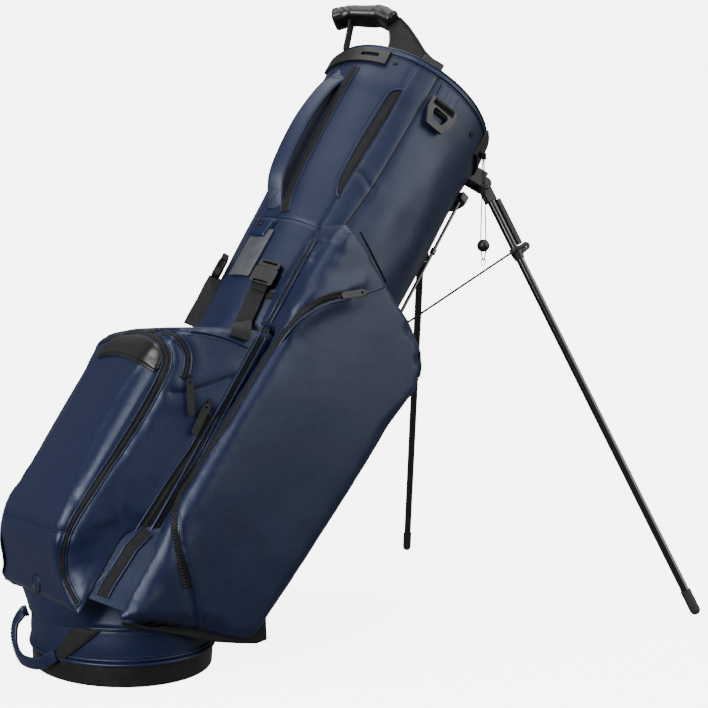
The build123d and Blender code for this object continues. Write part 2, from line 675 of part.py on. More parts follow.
with BuildPart() as leg_pins:
    for sy in (-1, 1):
        h, d, n = leg_frame(sy)
        with BuildSketch(Plane(origin=h - n * 12.1, x_dir=d, z_dir=n)):
            Circle(PIN_R)
        extrude(amount=24.2)
        for s0, zz in ((-13.4, 1), (12.1, 1)):
            with BuildSketch(Plane(origin=h + n * s0, x_dir=d, z_dir=n)):
                Circle(PIN_R + 2)
            extrude(amount=1.3)
done(leg_pins, "leg_pins")

# ---------------------------------------------------------------- actuator rods on the underside
def rod_v(u):
    y = 66.0
    return A(u) * math.sqrt(1 - (y / B(u)) ** 2) + 7.5


ROD0, ROD1 = 168.0, 800.0
RODA = unit(W(rod_v(ROD1), 0, ROD1) - W(rod_v(ROD0), 0, ROD0))


def rod_p(u, sy):
    t = (u - ROD0) / (ROD1 - ROD0)
    return W(rod_v(ROD0) + (rod_v(ROD1) - rod_v(ROD0)) * t, sy * 66, u)


with BuildPart() as actuator_rods:
    for sy in (-1, 1):
        p0, p1 = W(rod_v(ROD0), sy * 66, ROD0), W(rod_v(ROD1), sy * 66, ROD1)
        with BuildSketch(Plane(origin=p0, x_dir=YDIR, z_dir=RODA)):
            Circle(ROD_R)
        extrude(amount=(p1 - p0).length)
        pk = rod_p(692, sy)
        with BuildSketch(Plane(origin=pk - RODA * 4, x_dir=YDIR, z_dir=RODA)):   # stop bush
            Circle(4.4)
        extrude(amount=8)
done(actuator_rods, "actuator_rods")

with BuildPart() as rod_yoke:            # joins the rods below the leg bracket
    pm = rod_p(ROD1 - 14, 0)
    with BuildSketch(Plane(origin=pm, x_dir=YDIR * -1, z_dir=RODA)):
        with BuildLine():
            Polyline((-73, -6), (-60, -6), (-60, 7), (60, 7), (60, -6), (73, -6), (73, 7), (62, 13), (40, 19), (-40, 19), (-62, 13), (-73, 7), close=True)
        make_face()
    extrude(amount=12)
    for sy in (-1, 1):
        with BuildSketch(Plane(origin=rod_p(ROD1 - 20, sy), x_dir=YDIR, z_dir=RODA)):
            Circle(ROD_R)
        extrude(amount=30, mode=Mode.SUBTRACT)
    add(tube_body.part, mode=Mode.SUBTRACT)
done(rod_yoke, "rod_yoke")

with BuildPart() as rod_guides:          # moulded guides sewn to the underside
    for u in (250, 480):
        for sy in (-1, 1):
            pc = rod_p(u, sy)
            with BuildSketch(Plane(origin=pc - RODA * 7, x_dir=YDIR, z_dir=RODA)):
                Circle(5.5)
                with Locations((0, 8)):
                    Rectangle(11, 16)
            extrude(amount=14)
            with BuildSketch(Plane(origin=pc - RODA * 10, x_dir=YDIR, z_dir=RODA)):
                Circle(ROD_R + 0.08)
            extrude(amount=20, mode=Mode.SUBTRACT)
    add(tube_body.part, mode=Mode.SUBTRACT)
    add(side_pocket.part, mode=Mode.SUBTRACT)
    add(far_pocket.part, mode=Mode.SUBTRACT)
done(rod_guides, "rod_guides")

# ---------------------------------------------------------------- leg cords and their anchor
ANCH = W(A(540) + 0.2, 0, 540)
with BuildPart() as cord_anchor:
    with BuildSketch(Plane(origin=ANCH - VDIR * 3, x_dir=YDIR, z_dir=VDIR)):
        RectangleRounded(34, 22, 5)
    extrude(amount=7)
    with BuildSketch(Plane(origin=ANCH + VDIR * 3 - UDIR * 5, x_dir=YDIR, z_dir=UDIR)):
        with Locations((0, -4)):
            Rectangle(24, 10)
    extrude(amount=10)
    with BuildSketch(Plane(origin=ANCH + VDIR * 8 - YDIR * 20, x_dir=VDIR, z_dir=YDIR)):
        Circle(2.2)
    extrude(amount=40, mode=Mode.SUBTRACT)
    add(tube_body.part, mode=Mode.SUBTRACT)
done(cord_anchor, "cord_anchor")

CORD_D = 3.2
for sy, tag in ((-1, "near"), (1, "far")):
    h, d, n = leg_frame(sy)
    q = n.cross(d)
    out = n * -1 if n.Y * sy < 0 else n          # outwards, away from the other leg
    lug = h + d * 110 + q * -19
    a = ANCH + VDIR * 8 + YDIR * (sy * 13.0)
    pts = [lug + out * 4.6, h + d * 110 + q * -4 + out * 12.6, h + d * 112.5 + q * 15 + out * 11.2, a]
    radii = bend_radii(pts, 60)
    print("leg cord", tag, [[round(c, 2) for c in (p.X, p.Y, p.Z)] for p in pts], "radii", [round(r, 1) for r in radii])
    with BuildPart() as cord:
        with BuildLine() as cord_line:
            FilletPolyline(*pts, radius=radii)
        with BuildSketch(Plane(origin=cord_line.line @ 0, z_dir=cord_line.line % 0)):
            Circle(CORD_D / 2)
        sweep()
    L_ = run_length(cord_line.line)
    print("   length", round(L_, 1), "volume ratio", round(cord.part.volume / (math.pi * (CORD_D / 2) ** 2 * L_), 4))
    done(cord, f"leg_cord_{tag}")

# ---------------------------------------------------------------- pull lanyard beside the hinge
LP = skin(-50, 846)
LT0 = LP.origin
LT1 = LP.origin + LP.z_dir * 14
with BuildPart() as lanyard_tab:
    with BuildSketch(Plane(origin=LT0 + LP.z_dir * 0.1, x_dir=LP.x_dir, z_dir=LP.z_dir)):
        Rectangle(14, 3)
    extrude(amount=14)
    with BuildSketch(Plane(origin=LT1 - LP.z_dir * 4 + UDIR * 5, x_dir=LP.x_dir, z_dir=UDIR * -1)):
        Circle(2.4)
    extrude(amount=10, mode=Mode.SUBTRACT)
    add(cuff_body.part, mode=Mode.SUBTRACT)
    add(leg_bracket.part, mode=Mode.SUBTRACT)
done(lanyard_tab, "lanyard_tab")

LX, LY, LZ = (LT1 - LP.z_dir * 4).X, (LT1 - LP.z_dir * 4).Y, (LT1 - LP.z_dir * 4).Z
print("lanyard top", LX, LY, LZ)
TOG_Z = LZ - 131.0
LPTS = [Vector(LX + dx, LY, z) for dx, z in ((-1.2, LZ - 3.6), (-2.4, LZ - 50), (-5.0, TOG_Z + 26), (-5.2, TOG_Z - 8), (-2.9, TOG_Z - 16), (-2.2, TOG_Z - 21), (2.2, TOG_Z - 21), (2.9, TOG_Z - 16), (5.2, TOG_Z - 8), (5.0, TOG_Z + 26), (2.4, LZ - 50), (1.2, LZ - 3.6))]
print("lanyard radii", [round(r, 1) for r in bend_radii(LPTS, 60)])
with BuildPart() as lanyard_cord:        # doubled cord with a small loop at the end
    with BuildLine() as ly:
        FilletPolyline(*LPTS, radius=bend_radii(LPTS, 60))
    with BuildSketch(Plane(origin=ly.line @ 0, z_dir=ly.line % 0)):
        Circle(0.9)
    sweep()
print("lanyard length", run_length(ly.line), "vol ratio", lanyard_cord.part.volume / (math.pi * 0.81 * run_length(ly.line)))
done(lanyard_cord, "lanyard_cord")

with BuildPart() as lanyard_toggle:
    with Locations((LX, LY, TOG_Z)):
        Sphere(9.2)
    with BuildSketch(Plane.XY.offset(TOG_Z - 12)):
        with Locations((LX, LY)):
            SlotOverall(13.6, 3.2)
    extrude(amount=24, mode=Mode.SUBTRACT)
done(lanyard_toggle, "lanyard_toggle")

with BuildPart() as lanyard_ring:
    with BuildSketch(Plane(origin=(LX - 0.45, LY, TOG_Z - 19.0), z_dir=(1, 0, 0), x_dir=(0, 1, 0))):
        with Locations((0, -4.75)):
            Circle(5.2)
            Circle(4.3, mode=Mode.SUBTRACT)
    extrude(amount=0.9, both=False)
done(lanyard_ring, "lanyard_ring")

# ---------------------------------------------------------------- zip sliders and their pulls
def zipper(tag, p, nrm, path, hang, length, w=8.5):
    """Slider on the pocket's skin at p; the pull hangs from its bridge along hang."""
    nrm, path, hang = unit(nrm), unit(path), unit(hang)
    with BuildPart() as slider:
        with BuildSketch(Plane(origin=p + nrm * 0.4, x_dir=path, z_dir=nrm)):
            RectangleRounded(11, 8, 2.6)
        extrude(amount=2.6)
        side_d = nrm.cross(path)
        with BuildSketch(Plane(origin=p + nrm * 3.0 + side_d * 1.1, x_dir=path, z_dir=side_d * -1)):
            with BuildLine():
                Polyline((-4.5, 0), (-4.5, 1.6), (-3, 3.4), (3, 3.4), (4.5, 1.6), (4.5, 0), close=True)
            make_face()
            with BuildLine():
                Polyline((-3, 0.1), (-3, 1.3), (-2.2, 2.2), (2.2, 2.2), (3, 1.3), (3, 0.1), close=True)
            make_face(mode=Mode.SUBTRACT)
        extrude(amount=2.2)
    done(slider, f"zip_slider_{tag}")
    hang = unit(hang - nrm * hang.dot(nrm))
    wd = unit(nrm.cross(hang))
    o = p + nrm * 6.8
    with BuildPart() as pull:
        with BuildSketch(Plane(origin=o + hang * (length / 2 + 2), x_dir=hang, z_dir=nrm)):
            SlotOverall(length, w)
            with Locations((-length / 2 + 5, 0)):
                Circle(2.0, mode=Mode.SUBTRACT)
        extrude(amount=1.8)
    done(pull, f"zip_pull_{tag}")
    print("zip", tag, "slider", [round(c / 1000, 5) for c in (p.X, p.Y, p.Z)], "hinge", [round(c / 1000, 5) for c in (o.X, o.Y, o.Z)], "axis", [round(c, 5) for c in (wd.X, wd.Y, wd.Z)], "path", [round(c, 5) for c in (path.X, path.Y, path.Z)])


DOWN = Vector(0, 0, -1)
NB = unit(VDIR * -0.27 + YDIR * -0.96)
zipper("ball_upper", W(-154, -104.2, 315), NB, UDIR, DOWN, 44)
zipper("ball_lower", W(-121, -115.4, 300), NB, UDIR, UDIR * -1 + VDIR * 0.05, 40)
zipper("side", W(-20, -150.2, 527), YDIR * -1, VDIR * -0.7 + UDIR * -0.71, VDIR * -0.75 + UDIR * -0.66, 38)

print("frames:")
for sy, tag in ((-1, "near"), (1, "far")):
    h, d, n = leg_frame(sy)
    ang = math.degrees(math.acos(max(-1, min(1, d.dot(UDIR * -1)))))
    print(tag, "hinge", [round(c / 1000, 6) for c in (h.X, h.Y, h.Z)], "n", [round(c, 6) for c in (n.X, n.Y, n.Z)], "fold", ang, "len", LEG_LEN[tag])
print("rod axis", [round(c, 6) for c in (RODA.X, RODA.Y, RODA.Z)])
t0 = tr(0, 18.5, 0)
print("towel hinge", [round(c / 1000, 6) for c in (t0.X, t0.Y, t0.Z)], "axis", [round(c, 6) for c in (TRP.x_dir.X, TRP.x_dir.Y, TRP.x_dir.Z)])
print("toggle", LX, LY, TOG_Z)
print("buckle dirs", [round(c, 5) for c in (UDIR.X, UDIR.Y, UDIR.Z)])
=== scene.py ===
import bpy, bmesh, json, math
import numpy as np
from mathutils import Vector, Matrix
from mathutils.bvhtree import BVHTree


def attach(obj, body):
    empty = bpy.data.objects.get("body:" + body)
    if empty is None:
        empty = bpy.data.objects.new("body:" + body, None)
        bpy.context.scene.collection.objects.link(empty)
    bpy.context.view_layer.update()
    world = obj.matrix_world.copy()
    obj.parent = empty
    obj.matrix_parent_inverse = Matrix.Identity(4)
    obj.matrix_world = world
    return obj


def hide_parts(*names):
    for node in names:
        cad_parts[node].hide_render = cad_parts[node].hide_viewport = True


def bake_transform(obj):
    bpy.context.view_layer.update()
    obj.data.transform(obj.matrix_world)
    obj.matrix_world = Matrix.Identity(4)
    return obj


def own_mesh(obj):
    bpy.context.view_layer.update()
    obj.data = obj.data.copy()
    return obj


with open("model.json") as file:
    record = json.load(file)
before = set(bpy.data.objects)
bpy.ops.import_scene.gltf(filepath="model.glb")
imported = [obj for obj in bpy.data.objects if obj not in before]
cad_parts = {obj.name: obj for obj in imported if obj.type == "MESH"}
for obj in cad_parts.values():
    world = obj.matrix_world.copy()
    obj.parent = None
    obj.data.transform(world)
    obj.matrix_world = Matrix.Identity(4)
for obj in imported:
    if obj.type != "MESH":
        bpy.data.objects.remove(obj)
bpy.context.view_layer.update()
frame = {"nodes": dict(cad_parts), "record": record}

N = frame["nodes"]

# ------------------------------------------------------------ camera
CAM = Vector((-0.60634521, -1.22477393, 0.38504072))
FWD = Vector((0.62148137, 0.78339705, -0.00706859)).normalized()
FOC = 1083.26                                  # focal length for a view 708 wide
cd = bpy.data.cameras.new("camera")
cam = bpy.data.objects.new("camera", cd)
bpy.context.scene.collection.objects.link(cam)
cam.location = CAM
cam.rotation_mode = "QUATERNION"
cam.rotation_quaternion = FWD.to_track_quat("-Z", "Y")
cd.sensor_width = 36
cd.lens = FOC * 36 / 708
cd.clip_end = 30
bpy.context.scene.camera = cam
RIGHT = FWD.cross(Vector((0, 0, 1))).normalized()
UPV = RIGHT.cross(FWD).normalized()


def ray(x, y):
    """Direction through a place in the view, 708 wide and high."""
    return (FWD + RIGHT * ((x - 354) / FOC) - UPV * ((y - 354) / FOC)).normalized()


# ------------------------------------------------------------ tube coordinates
LEAN = math.radians(32.7)
C, S = math.cos(LEAN), math.sin(LEAN)
UD, VD, YD = Vector((S, 0, C)), Vector((C, 0, -S)), Vector((0, 1, 0))
ORG = Vector((-0.008, 0, 0))
LEN = 0.8845
A = lambda u: 0.0999 + (0.1304 - 0.0999) * u / LEN
B = lambda u: 0.1112 + (0.1227 - 0.1112) * u / LEN


def W(v, y, u):
    return ORG + VD * v + YD * y + UD * u


def coll(o):
    bpy.context.scene.collection.objects.link(o)
    return o


def mesh(name, verts, faces, mat, body="bag", smooth=True):
    m = bpy.data.meshes.new(name)
    m.from_pydata([tuple(v) for v in verts], [], faces)
    m.update()
    o = coll(bpy.data.objects.new(name, m))
    if smooth:
        m.polygons.foreach_set("use_smooth", [True] * len(m.polygons))
    m.materials.append(mat)
    if body:
        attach(o, body)
    return o


# ------------------------------------------------------------ materials
def nodes_of(name):
    m = bpy.data.materials.new(name)
    m.use_nodes = True
    t = m.node_tree
    return m, t, t.nodes["Principled BSDF"]


def bump(t, p, items, coord="Object"):
    """items: list of (kind, scale, strength, distance)."""
    tc = t.nodes.new("ShaderNodeTexCoord")
    last = None
    for kind, scale, strength, dist in items:
        if kind == "vor":
            n = t.nodes.new("ShaderNodeTexVoronoi"); n.feature = "SMOOTH_F1"
            out = n.outputs["Distance"]
        elif kind == "wave":
            n = t.nodes.new("ShaderNodeTexWave"); out = n.outputs["Fac"]
            n.inputs["Distortion"].default_value = 0.6
        else:
            n = t.nodes.new("ShaderNodeTexNoise"); out = n.outputs["Fac"]
            n.inputs["Detail"].default_value = 5
            n.inputs["Roughness"].default_value = 0.55
        n.inputs["Scale"].default_value = scale
        t.links.new(tc.outputs[coord], n.inputs["Vector"])
        b = t.nodes.new("ShaderNodeBump")
        b.inputs["Strength"].default_value = strength
        b.inputs["Distance"].default_value = dist
        t.links.new(out, b.inputs["Height"])
        if last is not None:
            t.links.new(last.outputs["Normal"], b.inputs["Normal"])
        last = b
    t.links.new(last.outputs["Normal"], p.inputs["Normal"])
    return tc


def vary(t, p, tc, c1, c2, scale, r1, r2):
    """Base colour and roughness wander a little over the piece."""
    n = t.nodes.new("ShaderNodeTexNoise")
    n.inputs["Scale"].default_value = scale
    n.inputs["Detail"].default_value = 6
    t.links.new(tc.outputs["Object"], n.inputs["Vector"])
    mx = t.nodes.new("ShaderNodeMix"); mx.data_type = "RGBA"
    mx.inputs[6].default_value = (*c1, 1)
    mx.inputs[7].default_value = (*c2, 1)
    t.links.new(n.outputs["Fac"], mx.inputs[0])
    t.links.new(mx.outputs[2], p.inputs["Base Color"])
    mr = t.nodes.new("ShaderNodeMapRange")
    mr.inputs["From Min"].default_value = 0.3
    mr.inputs["From Max"].default_value = 0.7
    mr.inputs["To Min"].default_value = r1
    mr.inputs["To Max"].default_value = r2
    t.links.new(n.outputs["Fac"], mr.inputs["Value"])
    t.links.new(mr.outputs["Result"], p.inputs["Roughness"])


def leather(name, c1, c2, r1, r2, coat=0.08, grain=0.35, soft=0.5):
    m, t, p = nodes_of(name)
    tc = bump(t, p, [("noise", 9, soft, 0.004), ("noise", 60, 0.12 * soft, 0.001), ("vor", 1100, grain, 0.00018), ("noise", 1900, grain * 0.6, 0.0001)])
    vary(t, p, tc, c1, c2, 26, r1, r2)
    p.inputs["Specular IOR Level"].default_value = 0.40
    p.inputs["Coat Weight"].default_value = coat
    p.inputs["Coat Roughness"].default_value = 0.35
    p.inputs["Sheen Weight"].default_value = 0.03
    p.inputs["Sheen Roughness"].default_value = 0.5
    return m


def cloth(name, c1, c2, rough=0.8, scale=900):
    m, t, p = nodes_of(name)
    tc = bump(t, p, [("wave", scale, 0.5, 0.0002), ("noise", scale * 1.7, 0.4, 0.0002)])
    vary(t, p, tc, c1, c2, 90, rough - 0.08, rough + 0.08)
    p.inputs["Sheen Weight"].default_value = 0.04
    p.inputs["Specular IOR Level"].default_value = 0.25
    return m


def plastic(name, c1, c2, r1, r2, fine=0.2, scale=900, metal=0.0, coat=0.0):
    m, t, p = nodes_of(name)
    tc = bump(t, p, [("noise", scale, fine, 0.0001), ("noise", 35, 0.05, 0.001)])
    vary(t, p, tc, c1, c2, 60, r1, r2)
    p.inputs["Metallic"].default_value = metal
    p.inputs["Coat Weight"].default_value = coat
    p.inputs["Coat Roughness"].default_value = 0.12
    return m


NAVY = leather("navy_leather", (0.0016, 0.0050, 0.0250), (0.0024, 0.0068, 0.0320), 0.40, 0.49)
NAVY2 = leather("navy_piping", (0.0018, 0.0056, 0.0280), (0.0026, 0.0074, 0.0340), 0.36, 0.44, 0.06, 0.2, 0.1)
for m_ in (NAVY, NAVY2):
    m_.node_tree.nodes["Principled BSDF"].inputs["Specular Tint"].default_value = (0.78, 0.89, 1.0, 1)
BLACKL = leather("black_leather", (0.0025, 0.0026, 0.0030), (0.0045, 0.0047, 0.0052), 0.28, 0.40, 0.12, 0.5, 0.4)
WEB = cloth("black_webbing", (0.0035, 0.0035, 0.004), (0.007, 0.007, 0.0075), 0.72, 700)
TAPE = cloth("zip_tape", (0.0018, 0.0018, 0.002), (0.0035, 0.0035, 0.004), 0.7, 1000)
LINING = cloth("lining", (0.004, 0.004, 0.005), (0.008, 0.008, 0.009), 0.85, 800)
CORD = cloth("cord_braid", (0.006, 0.006, 0.007), (0.013, 0.013, 0.014), 0.6, 900)
THREAD = cloth("thread", (0.012, 0.024, 0.066), (0.020, 0.036, 0.090), 0.55, 2000)
THREADK = cloth("thread_black", (0.010, 0.010, 0.011), (0.022, 0.022, 0.024), 0.5, 2000)
PLAST = plastic("black_moulding", (0.0035, 0.0035, 0.004), (0.006, 0.006, 0.0065), 0.38, 0.5, 0.35)
CUPM = plastic("cup_moulding", (0.0035, 0.0035, 0.004), (0.006, 0.006, 0.0065), 0.33, 0.44, 0.25, 600)
ENAM = plastic("leg_enamel", (0.003, 0.003, 0.0035), (0.005, 0.005, 0.0055), 0.16, 0.24, 0.05, 400, 0.0, 0.6)
RUBB = plastic("foot_rubber", (0.010, 0.010, 0.010), (0.016, 0.016, 0.016), 0.6, 0.75, 0.4)
GREYM = plastic("grey_metal", (0.17, 0.18, 0.20), (0.21, 0.22, 0.25), 0.34, 0.42, 0.2, 700, 0.85)
DARKM = plastic("dark_metal", (0.010, 0.010, 0.012), (0.020, 0.020, 0.022), 0.25, 0.34, 0.1, 800, 0.5)
STEELM = plastic("steel", (0.30, 0.30, 0.31), (0.38, 0.38, 0.40), 0.25, 0.35, 0.1, 800, 1.0)
GLASSF = plastic("stay_rod", (0.45, 0.42, 0.32), (0.52, 0.49, 0.40), 0.35, 0.45)

BY_SLOT = {"navy_leather": NAVY, "black_leather": BLACKL, "black_webbing": WEB, "black_moulding": PLAST, "leg_enamel": ENAM,
           "foot_rubber": RUBB, "steel": STEELM, "dark_metal": DARKM, "grey_metal": GREYM, "lining": LINING, "stay_rod": GLASSF, "cord": CORD}
for s in frame["record"]["subparts"]:
    o = N[s["node"]]
    o.data.materials.clear()
    o.data.materials.append(CUPM if s["node"] == "base_cup" else BY_SLOT[s["material_slot"]])

# ------------------------------------------------------------ cords
def bspline(pts, n=24):
    """Clamped quadratic B-spline through the control route."""
    P = [Vector(p) for p in pts]
    out = []
    k = len(P)
    mids = [P[0]] + [(P[i] + P[i + 1]) / 2 for i in range(1, k - 2)] + [P[-1]]
    for i in range(1, k - 1):
        a, b, c = mids[i - 1], P[i], mids[i]
        for j in range(n):
            t = j / n
            out.append(a * (1 - t) ** 2 + b * 2 * t * (1 - t) + c * t * t)
    out.append(P[-1])
    return out


def frames(pts, ups=None, closed=False):
    """(tangent, normal, binormal) at each point; the normal stays close to ups, or is carried along."""
    k = len(pts)
    res = []
    n = None
    for i in range(k):
        a = pts[(i - 1) % k] if (closed or i) else pts[i]
        b = pts[(i + 1) % k] if (closed or i < k - 1) else pts[i]
        t = (b - a).normalized()
        if ups is not None:
            u = ups[i] if isinstance(ups, list) else ups
            n = (u - t * u.dot(t)).normalized()
        else:
            if n is None:
                n = t.orthogonal().normalized()
            n = (n - t * n.dot(t)).normalized()
        res.append((t, n, t.cross(n)))
    return res


def sweep(name, pts, profile, mat, body="bag", ups=None, closed=False, offs=None, scale=None):
    """profile: list of (b, n) in the section; the section can be scaled along the run by scale(i) -> (sb, sn)."""
    fr = frames(pts, ups, closed)
    V, F = [], []
    m = len(profile)
    for i, (p, (t, n, b)) in enumerate(zip(pts, fr)):
        sb, sn = scale(i) if scale else (1, 1)
        q = p + (n * offs if offs else Vector())
        for x, y in profile:
            V.append(q + b * (x * sb) + n * (y * sn))
    k = len(pts)
    for i in range(k if closed else k - 1):
        j = (i + 1) % k
        for a in range(m):
            c = (a + 1) % m
            F.append((i * m + a, i * m + c, j * m + c, j * m + a))
    if not closed:
        F.append(tuple(range(m - 1, -1, -1)))
        F.append(tuple((k - 1) * m + a for a in range(m)))
    return mesh(name, V, F, mat, body)


def circ(r, n=10):
    return [(r * math.cos(2 * math.pi * i / n), r * math.sin(2 * math.pi * i / n)) for i in range(n)]


def rrect(w, t, r=None, n=4, bow=0.0):
    r = min(w, t) * 0.45 if r is None else r
    out = []
    for cx, cy, a0 in ((w / 2 - r, t / 2 - r, 0), (-w / 2 + r, t / 2 - r, 90), (-w / 2 + r, -t / 2 + r, 180), (w / 2 - r, -t / 2 + r, 270)):
        for i in range(n + 1):
            a = math.radians(a0 + 90 * i / n)
            out.append((cx + r * math.cos(a), cy + r * math.sin(a)))
    return out


def resample(pts, step, closed=False):
    P = [Vector(p) for p in pts]
    if closed:
        P = P + [P[0]]
    d = [0]
    for a, b in zip(P, P[1:]):
        d.append(d[-1] + (b - a).length)
    n = max(2, int(round(d[-1] / step)) + 1)
    out = []
    j = 0
    for i in range(n):
        s = d[-1] * i / (n - 1)
        while j < len(P) - 2 and d[j + 1] < s:
            j += 1
        w = 0 if d[j + 1] == d[j] else (s - d[j]) / (d[j + 1] - d[j])
        out.append(P[j].lerp(P[j + 1], w))
    return out[:-1] if closed else out


def catmull(pts, n=10, closed=False):
    P = [Vector(p) for p in pts]
    k = len(P)
    out = []
    for i in range(k if closed else k - 1):
        g = (lambda j: P[j % k]) if closed else (lambda j: P[min(max(j, 0), k - 1)])
        p0, p1, p2, p3 = g(i - 1), g(i), g(i + 1), g(i + 2)
        for s in range(n):
            t = s / n
            out.append(0.5 * ((2 * p1) + (p2 - p0) * t + (2 * p0 - 5 * p1 + 4 * p2 - p3) * t * t + (3 * p1 - p0 - 3 * p2 + p3) * t ** 3))
    if not closed:
        out.append(P[-1])
    return out


for tag, sy in (("near", 1), ("far", -1)):
    route = [(0.60426, -0.11547 * sy, 0.53659), (0.58791, -0.11846 * sy, 0.53301), (0.57224, -0.11284 * sy, 0.52342), (0.39037, -0.013 * sy, 0.38596)]
    P = resample(bspline(route, 40), 0.003)
    o = sweep("leg_cord_" + tag + "_braid", P, circ(0.0016, 12), CORD, None)
    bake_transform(o)
    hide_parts("leg_cord_" + tag)

LX, LY, LZ, TZ = 0.5251185, -0.1023009, 0.6630787, 0.5320787
LR = [(LX + dx / 1000, LY, z) for dx, z in ((-1.2, LZ - .0036), (-2.4, LZ - .050), (-5.0, TZ + .026), (-5.2, TZ - .008), (-2.9, TZ - .016), (-2.2, TZ - .021), (2.2, TZ - .021), (2.9, TZ - .016), (5.2, TZ - .008), (5.0, TZ + .026), (2.4, LZ - .050), (1.2, LZ - .0036))]
lc = bpy.data.curves.new("lanyard", "CURVE")
lc.dimensions = "3D"
sp = lc.splines.new("NURBS")
sp.points.add(len(LR) - 1)
for q, p in zip(sp.points, LR):
    q.co = (*p, 1)
sp.order_u = 3
sp.use_endpoint_u = True
lc.bevel_depth = 0.0009
lc.bevel_resolution = 4
lc.resolution_u = 16
lc.use_fill_caps = True
lan = coll(bpy.data.objects.new("lanyard", lc))
lc.materials.append(CORD)
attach(lan, "bag")
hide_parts("lanyard_cord")

# ------------------------------------------------------------ tools for soft surfaces
def bvh(*objs):
    V, F = [], []
    dg = bpy.context.evaluated_depsgraph_get()
    bpy.context.view_layer.update()
    for o in objs:
        e = o.evaluated_get(dg)
        m = e.to_mesh()
        b = len(V)
        V += [o.matrix_world @ v.co for v in m.vertices]
        F += [tuple(b + i for i in p.vertices) for p in m.polygons]
        e.to_mesh_clear()
    return BVHTree.FromPolygons(V, F)


def smooth_list(L, k, closed=False):
    n = len(L)
    out = []
    for i in range(n):
        s = Vector()
        c = 0
        for j in range(i - k, i + k + 1):
            if closed:
                s += L[j % n]; c += 1
            elif 0 <= j < n:
                s += L[j]; c += 1
        out.append(s / c)
    return out


def lay(tree, view, sm=2, step=1.6, curve=True, closed=False):
    """A line in the view, laid on the surface: (points, outward normals)."""
    q = catmull([(x, y, 0) for x, y in view], 8, closed) if curve and len(view) > 2 else [Vector((x, y, 0)) for x, y in view]
    q = resample(q, step, closed)
    P, Nn = [], []
    for v in q:
        d = ray(v.x, v.y)
        hit, n, _, _ = tree.ray_cast(CAM, d)
        if hit is None:
            near = tree.find_nearest(CAM + d * 1.45)
            hit, n = near[0], near[1]
            if hit is None:
                continue
        if n.dot(d) > 0:
            n = -n
        if P and (hit - P[-1]).length > 0.03 and (len(P) > 1):
            hit = P[-1] + (hit - P[-1]).normalized() * 0.01 if False else hit
        P.append(hit); Nn.append(n)
    P = smooth_list(P, sm, closed)
    Nn = [n.normalized() for n in smooth_list(Nn, sm + 2, closed)]
    return P, Nn


def lay_ts(tree, pts, sm=1, step=0.004, closed=False):
    """A line given by 3-D points, pressed on to the surface."""
    q = resample(catmull(pts, 8, closed), step, closed)
    P, Nn = [], []
    for v in q:
        hit, n, _, _ = tree.find_nearest(v)
        P.append(hit); Nn.append(n)
    P = smooth_list(P, sm, closed)
    return P, [n.normalized() for n in smooth_list(Nn, sm + 2, closed)]


def piping(name, pn, r=0.0014, mat=None, body="bag", off=0.0004, closed=False):
    P, Nn = pn
    return sweep(name, P, circ(r, 10), mat or NAVY2, body, Nn, closed, off)


def ribbon(name, pn, w, t=0.0012, mat=None, body="bag", off=0.0003, closed=False, taper=None):
    P, Nn = pn
    sc = None
    if taper:
        k = len(P)
        sc = lambda i: (taper(i / (k - 1)), 1)
    return sweep(name, P, rrect(w, t), mat or TAPE, body, Nn, closed, off, sc)


def many(name, items, mat, body="bag"):
    """items: (centre, x, y, z, sizes) boxes with rounded ends, in one mesh."""
    V, F = [], []
    for c, x, y, z, (a, b, h) in items:
        k = len(V)
        ring = []
        for sx, sc in ((-1, 0.55), (-0.72, 1), (0.72, 1), (1, 0.55)):
            for by, bz in ((-1, -0.4), (-0.6, 1), (0.6, 1), (1, -0.4)):
                V.append(c + x * (sx * a / 2) + y * (by * sc * b / 2) + z * (bz * sc * h / 2))
        for i in range(3):
            for j in range(4):
                jj = (j + 1) % 4
                F.append((k + i * 4 + j, k + i * 4 + jj, k + (i + 1) * 4 + jj, k + (i + 1) * 4 + j))
        F.append((k, k + 3, k + 2, k + 1)); F.append((k + 12, k + 13, k + 14, k + 15))
    return mesh(name, V, F, mat, body)


def stitches(name, pn, side=0.0, mat=None, body="bag", pitch=0.0042, length=0.0029, w=0.0007, off=0.0004, start=0.0, end=1.0):
    P, Nn = pn
    P2 = resample(P, pitch)
    tree = None
    items = []
    k = len(P2)
    fr = frames(P2, None)
    for i in range(1, k - 1):
        f = i / (k - 1)
        if not start <= f <= end:
            continue
        n = Nn[min(len(Nn) - 1, int(f * (len(Nn) - 1)))]
        t = fr[i][0]
        n = (n - t * n.dot(t)).normalized()
        b = t.cross(n)
        items.append((P2[i] + b * side + n * off, t, b, n, (length, w, w)))
    return many(name, items, mat or THREAD, body)


def teeth(name, pn, w=0.0052, pitch=0.0017, mat=None, body="bag", off=0.0010):
    P, Nn = pn
    P2 = resample(P, pitch)
    fr = frames(P2, None)
    items = []
    k = len(P2)
    for i in range(k):
        n = Nn[min(len(Nn) - 1, int(i / max(1, k - 1) * (len(Nn) - 1)))]
        t = fr[i][0]
        n = (n - t * n.dot(t)).normalized()
        b = t.cross(n)
        s = 1 if i % 2 else -1
        items.append((P2[i] + b * (s * w * 0.16) + n * off, b, t, n, (w * 0.62, pitch * 0.8, 0.0011)))
    return many(name, items, mat or DARKM, body)


def join(name, objs):
    objs = [o for o in objs if o]
    bpy.ops.object.select_all(action="DESELECT")
    for o in objs:
        o.select_set(True)
    bpy.context.view_layer.objects.active = objs[0]
    bpy.ops.object.join()
    objs[0].name = name
    return objs[0]


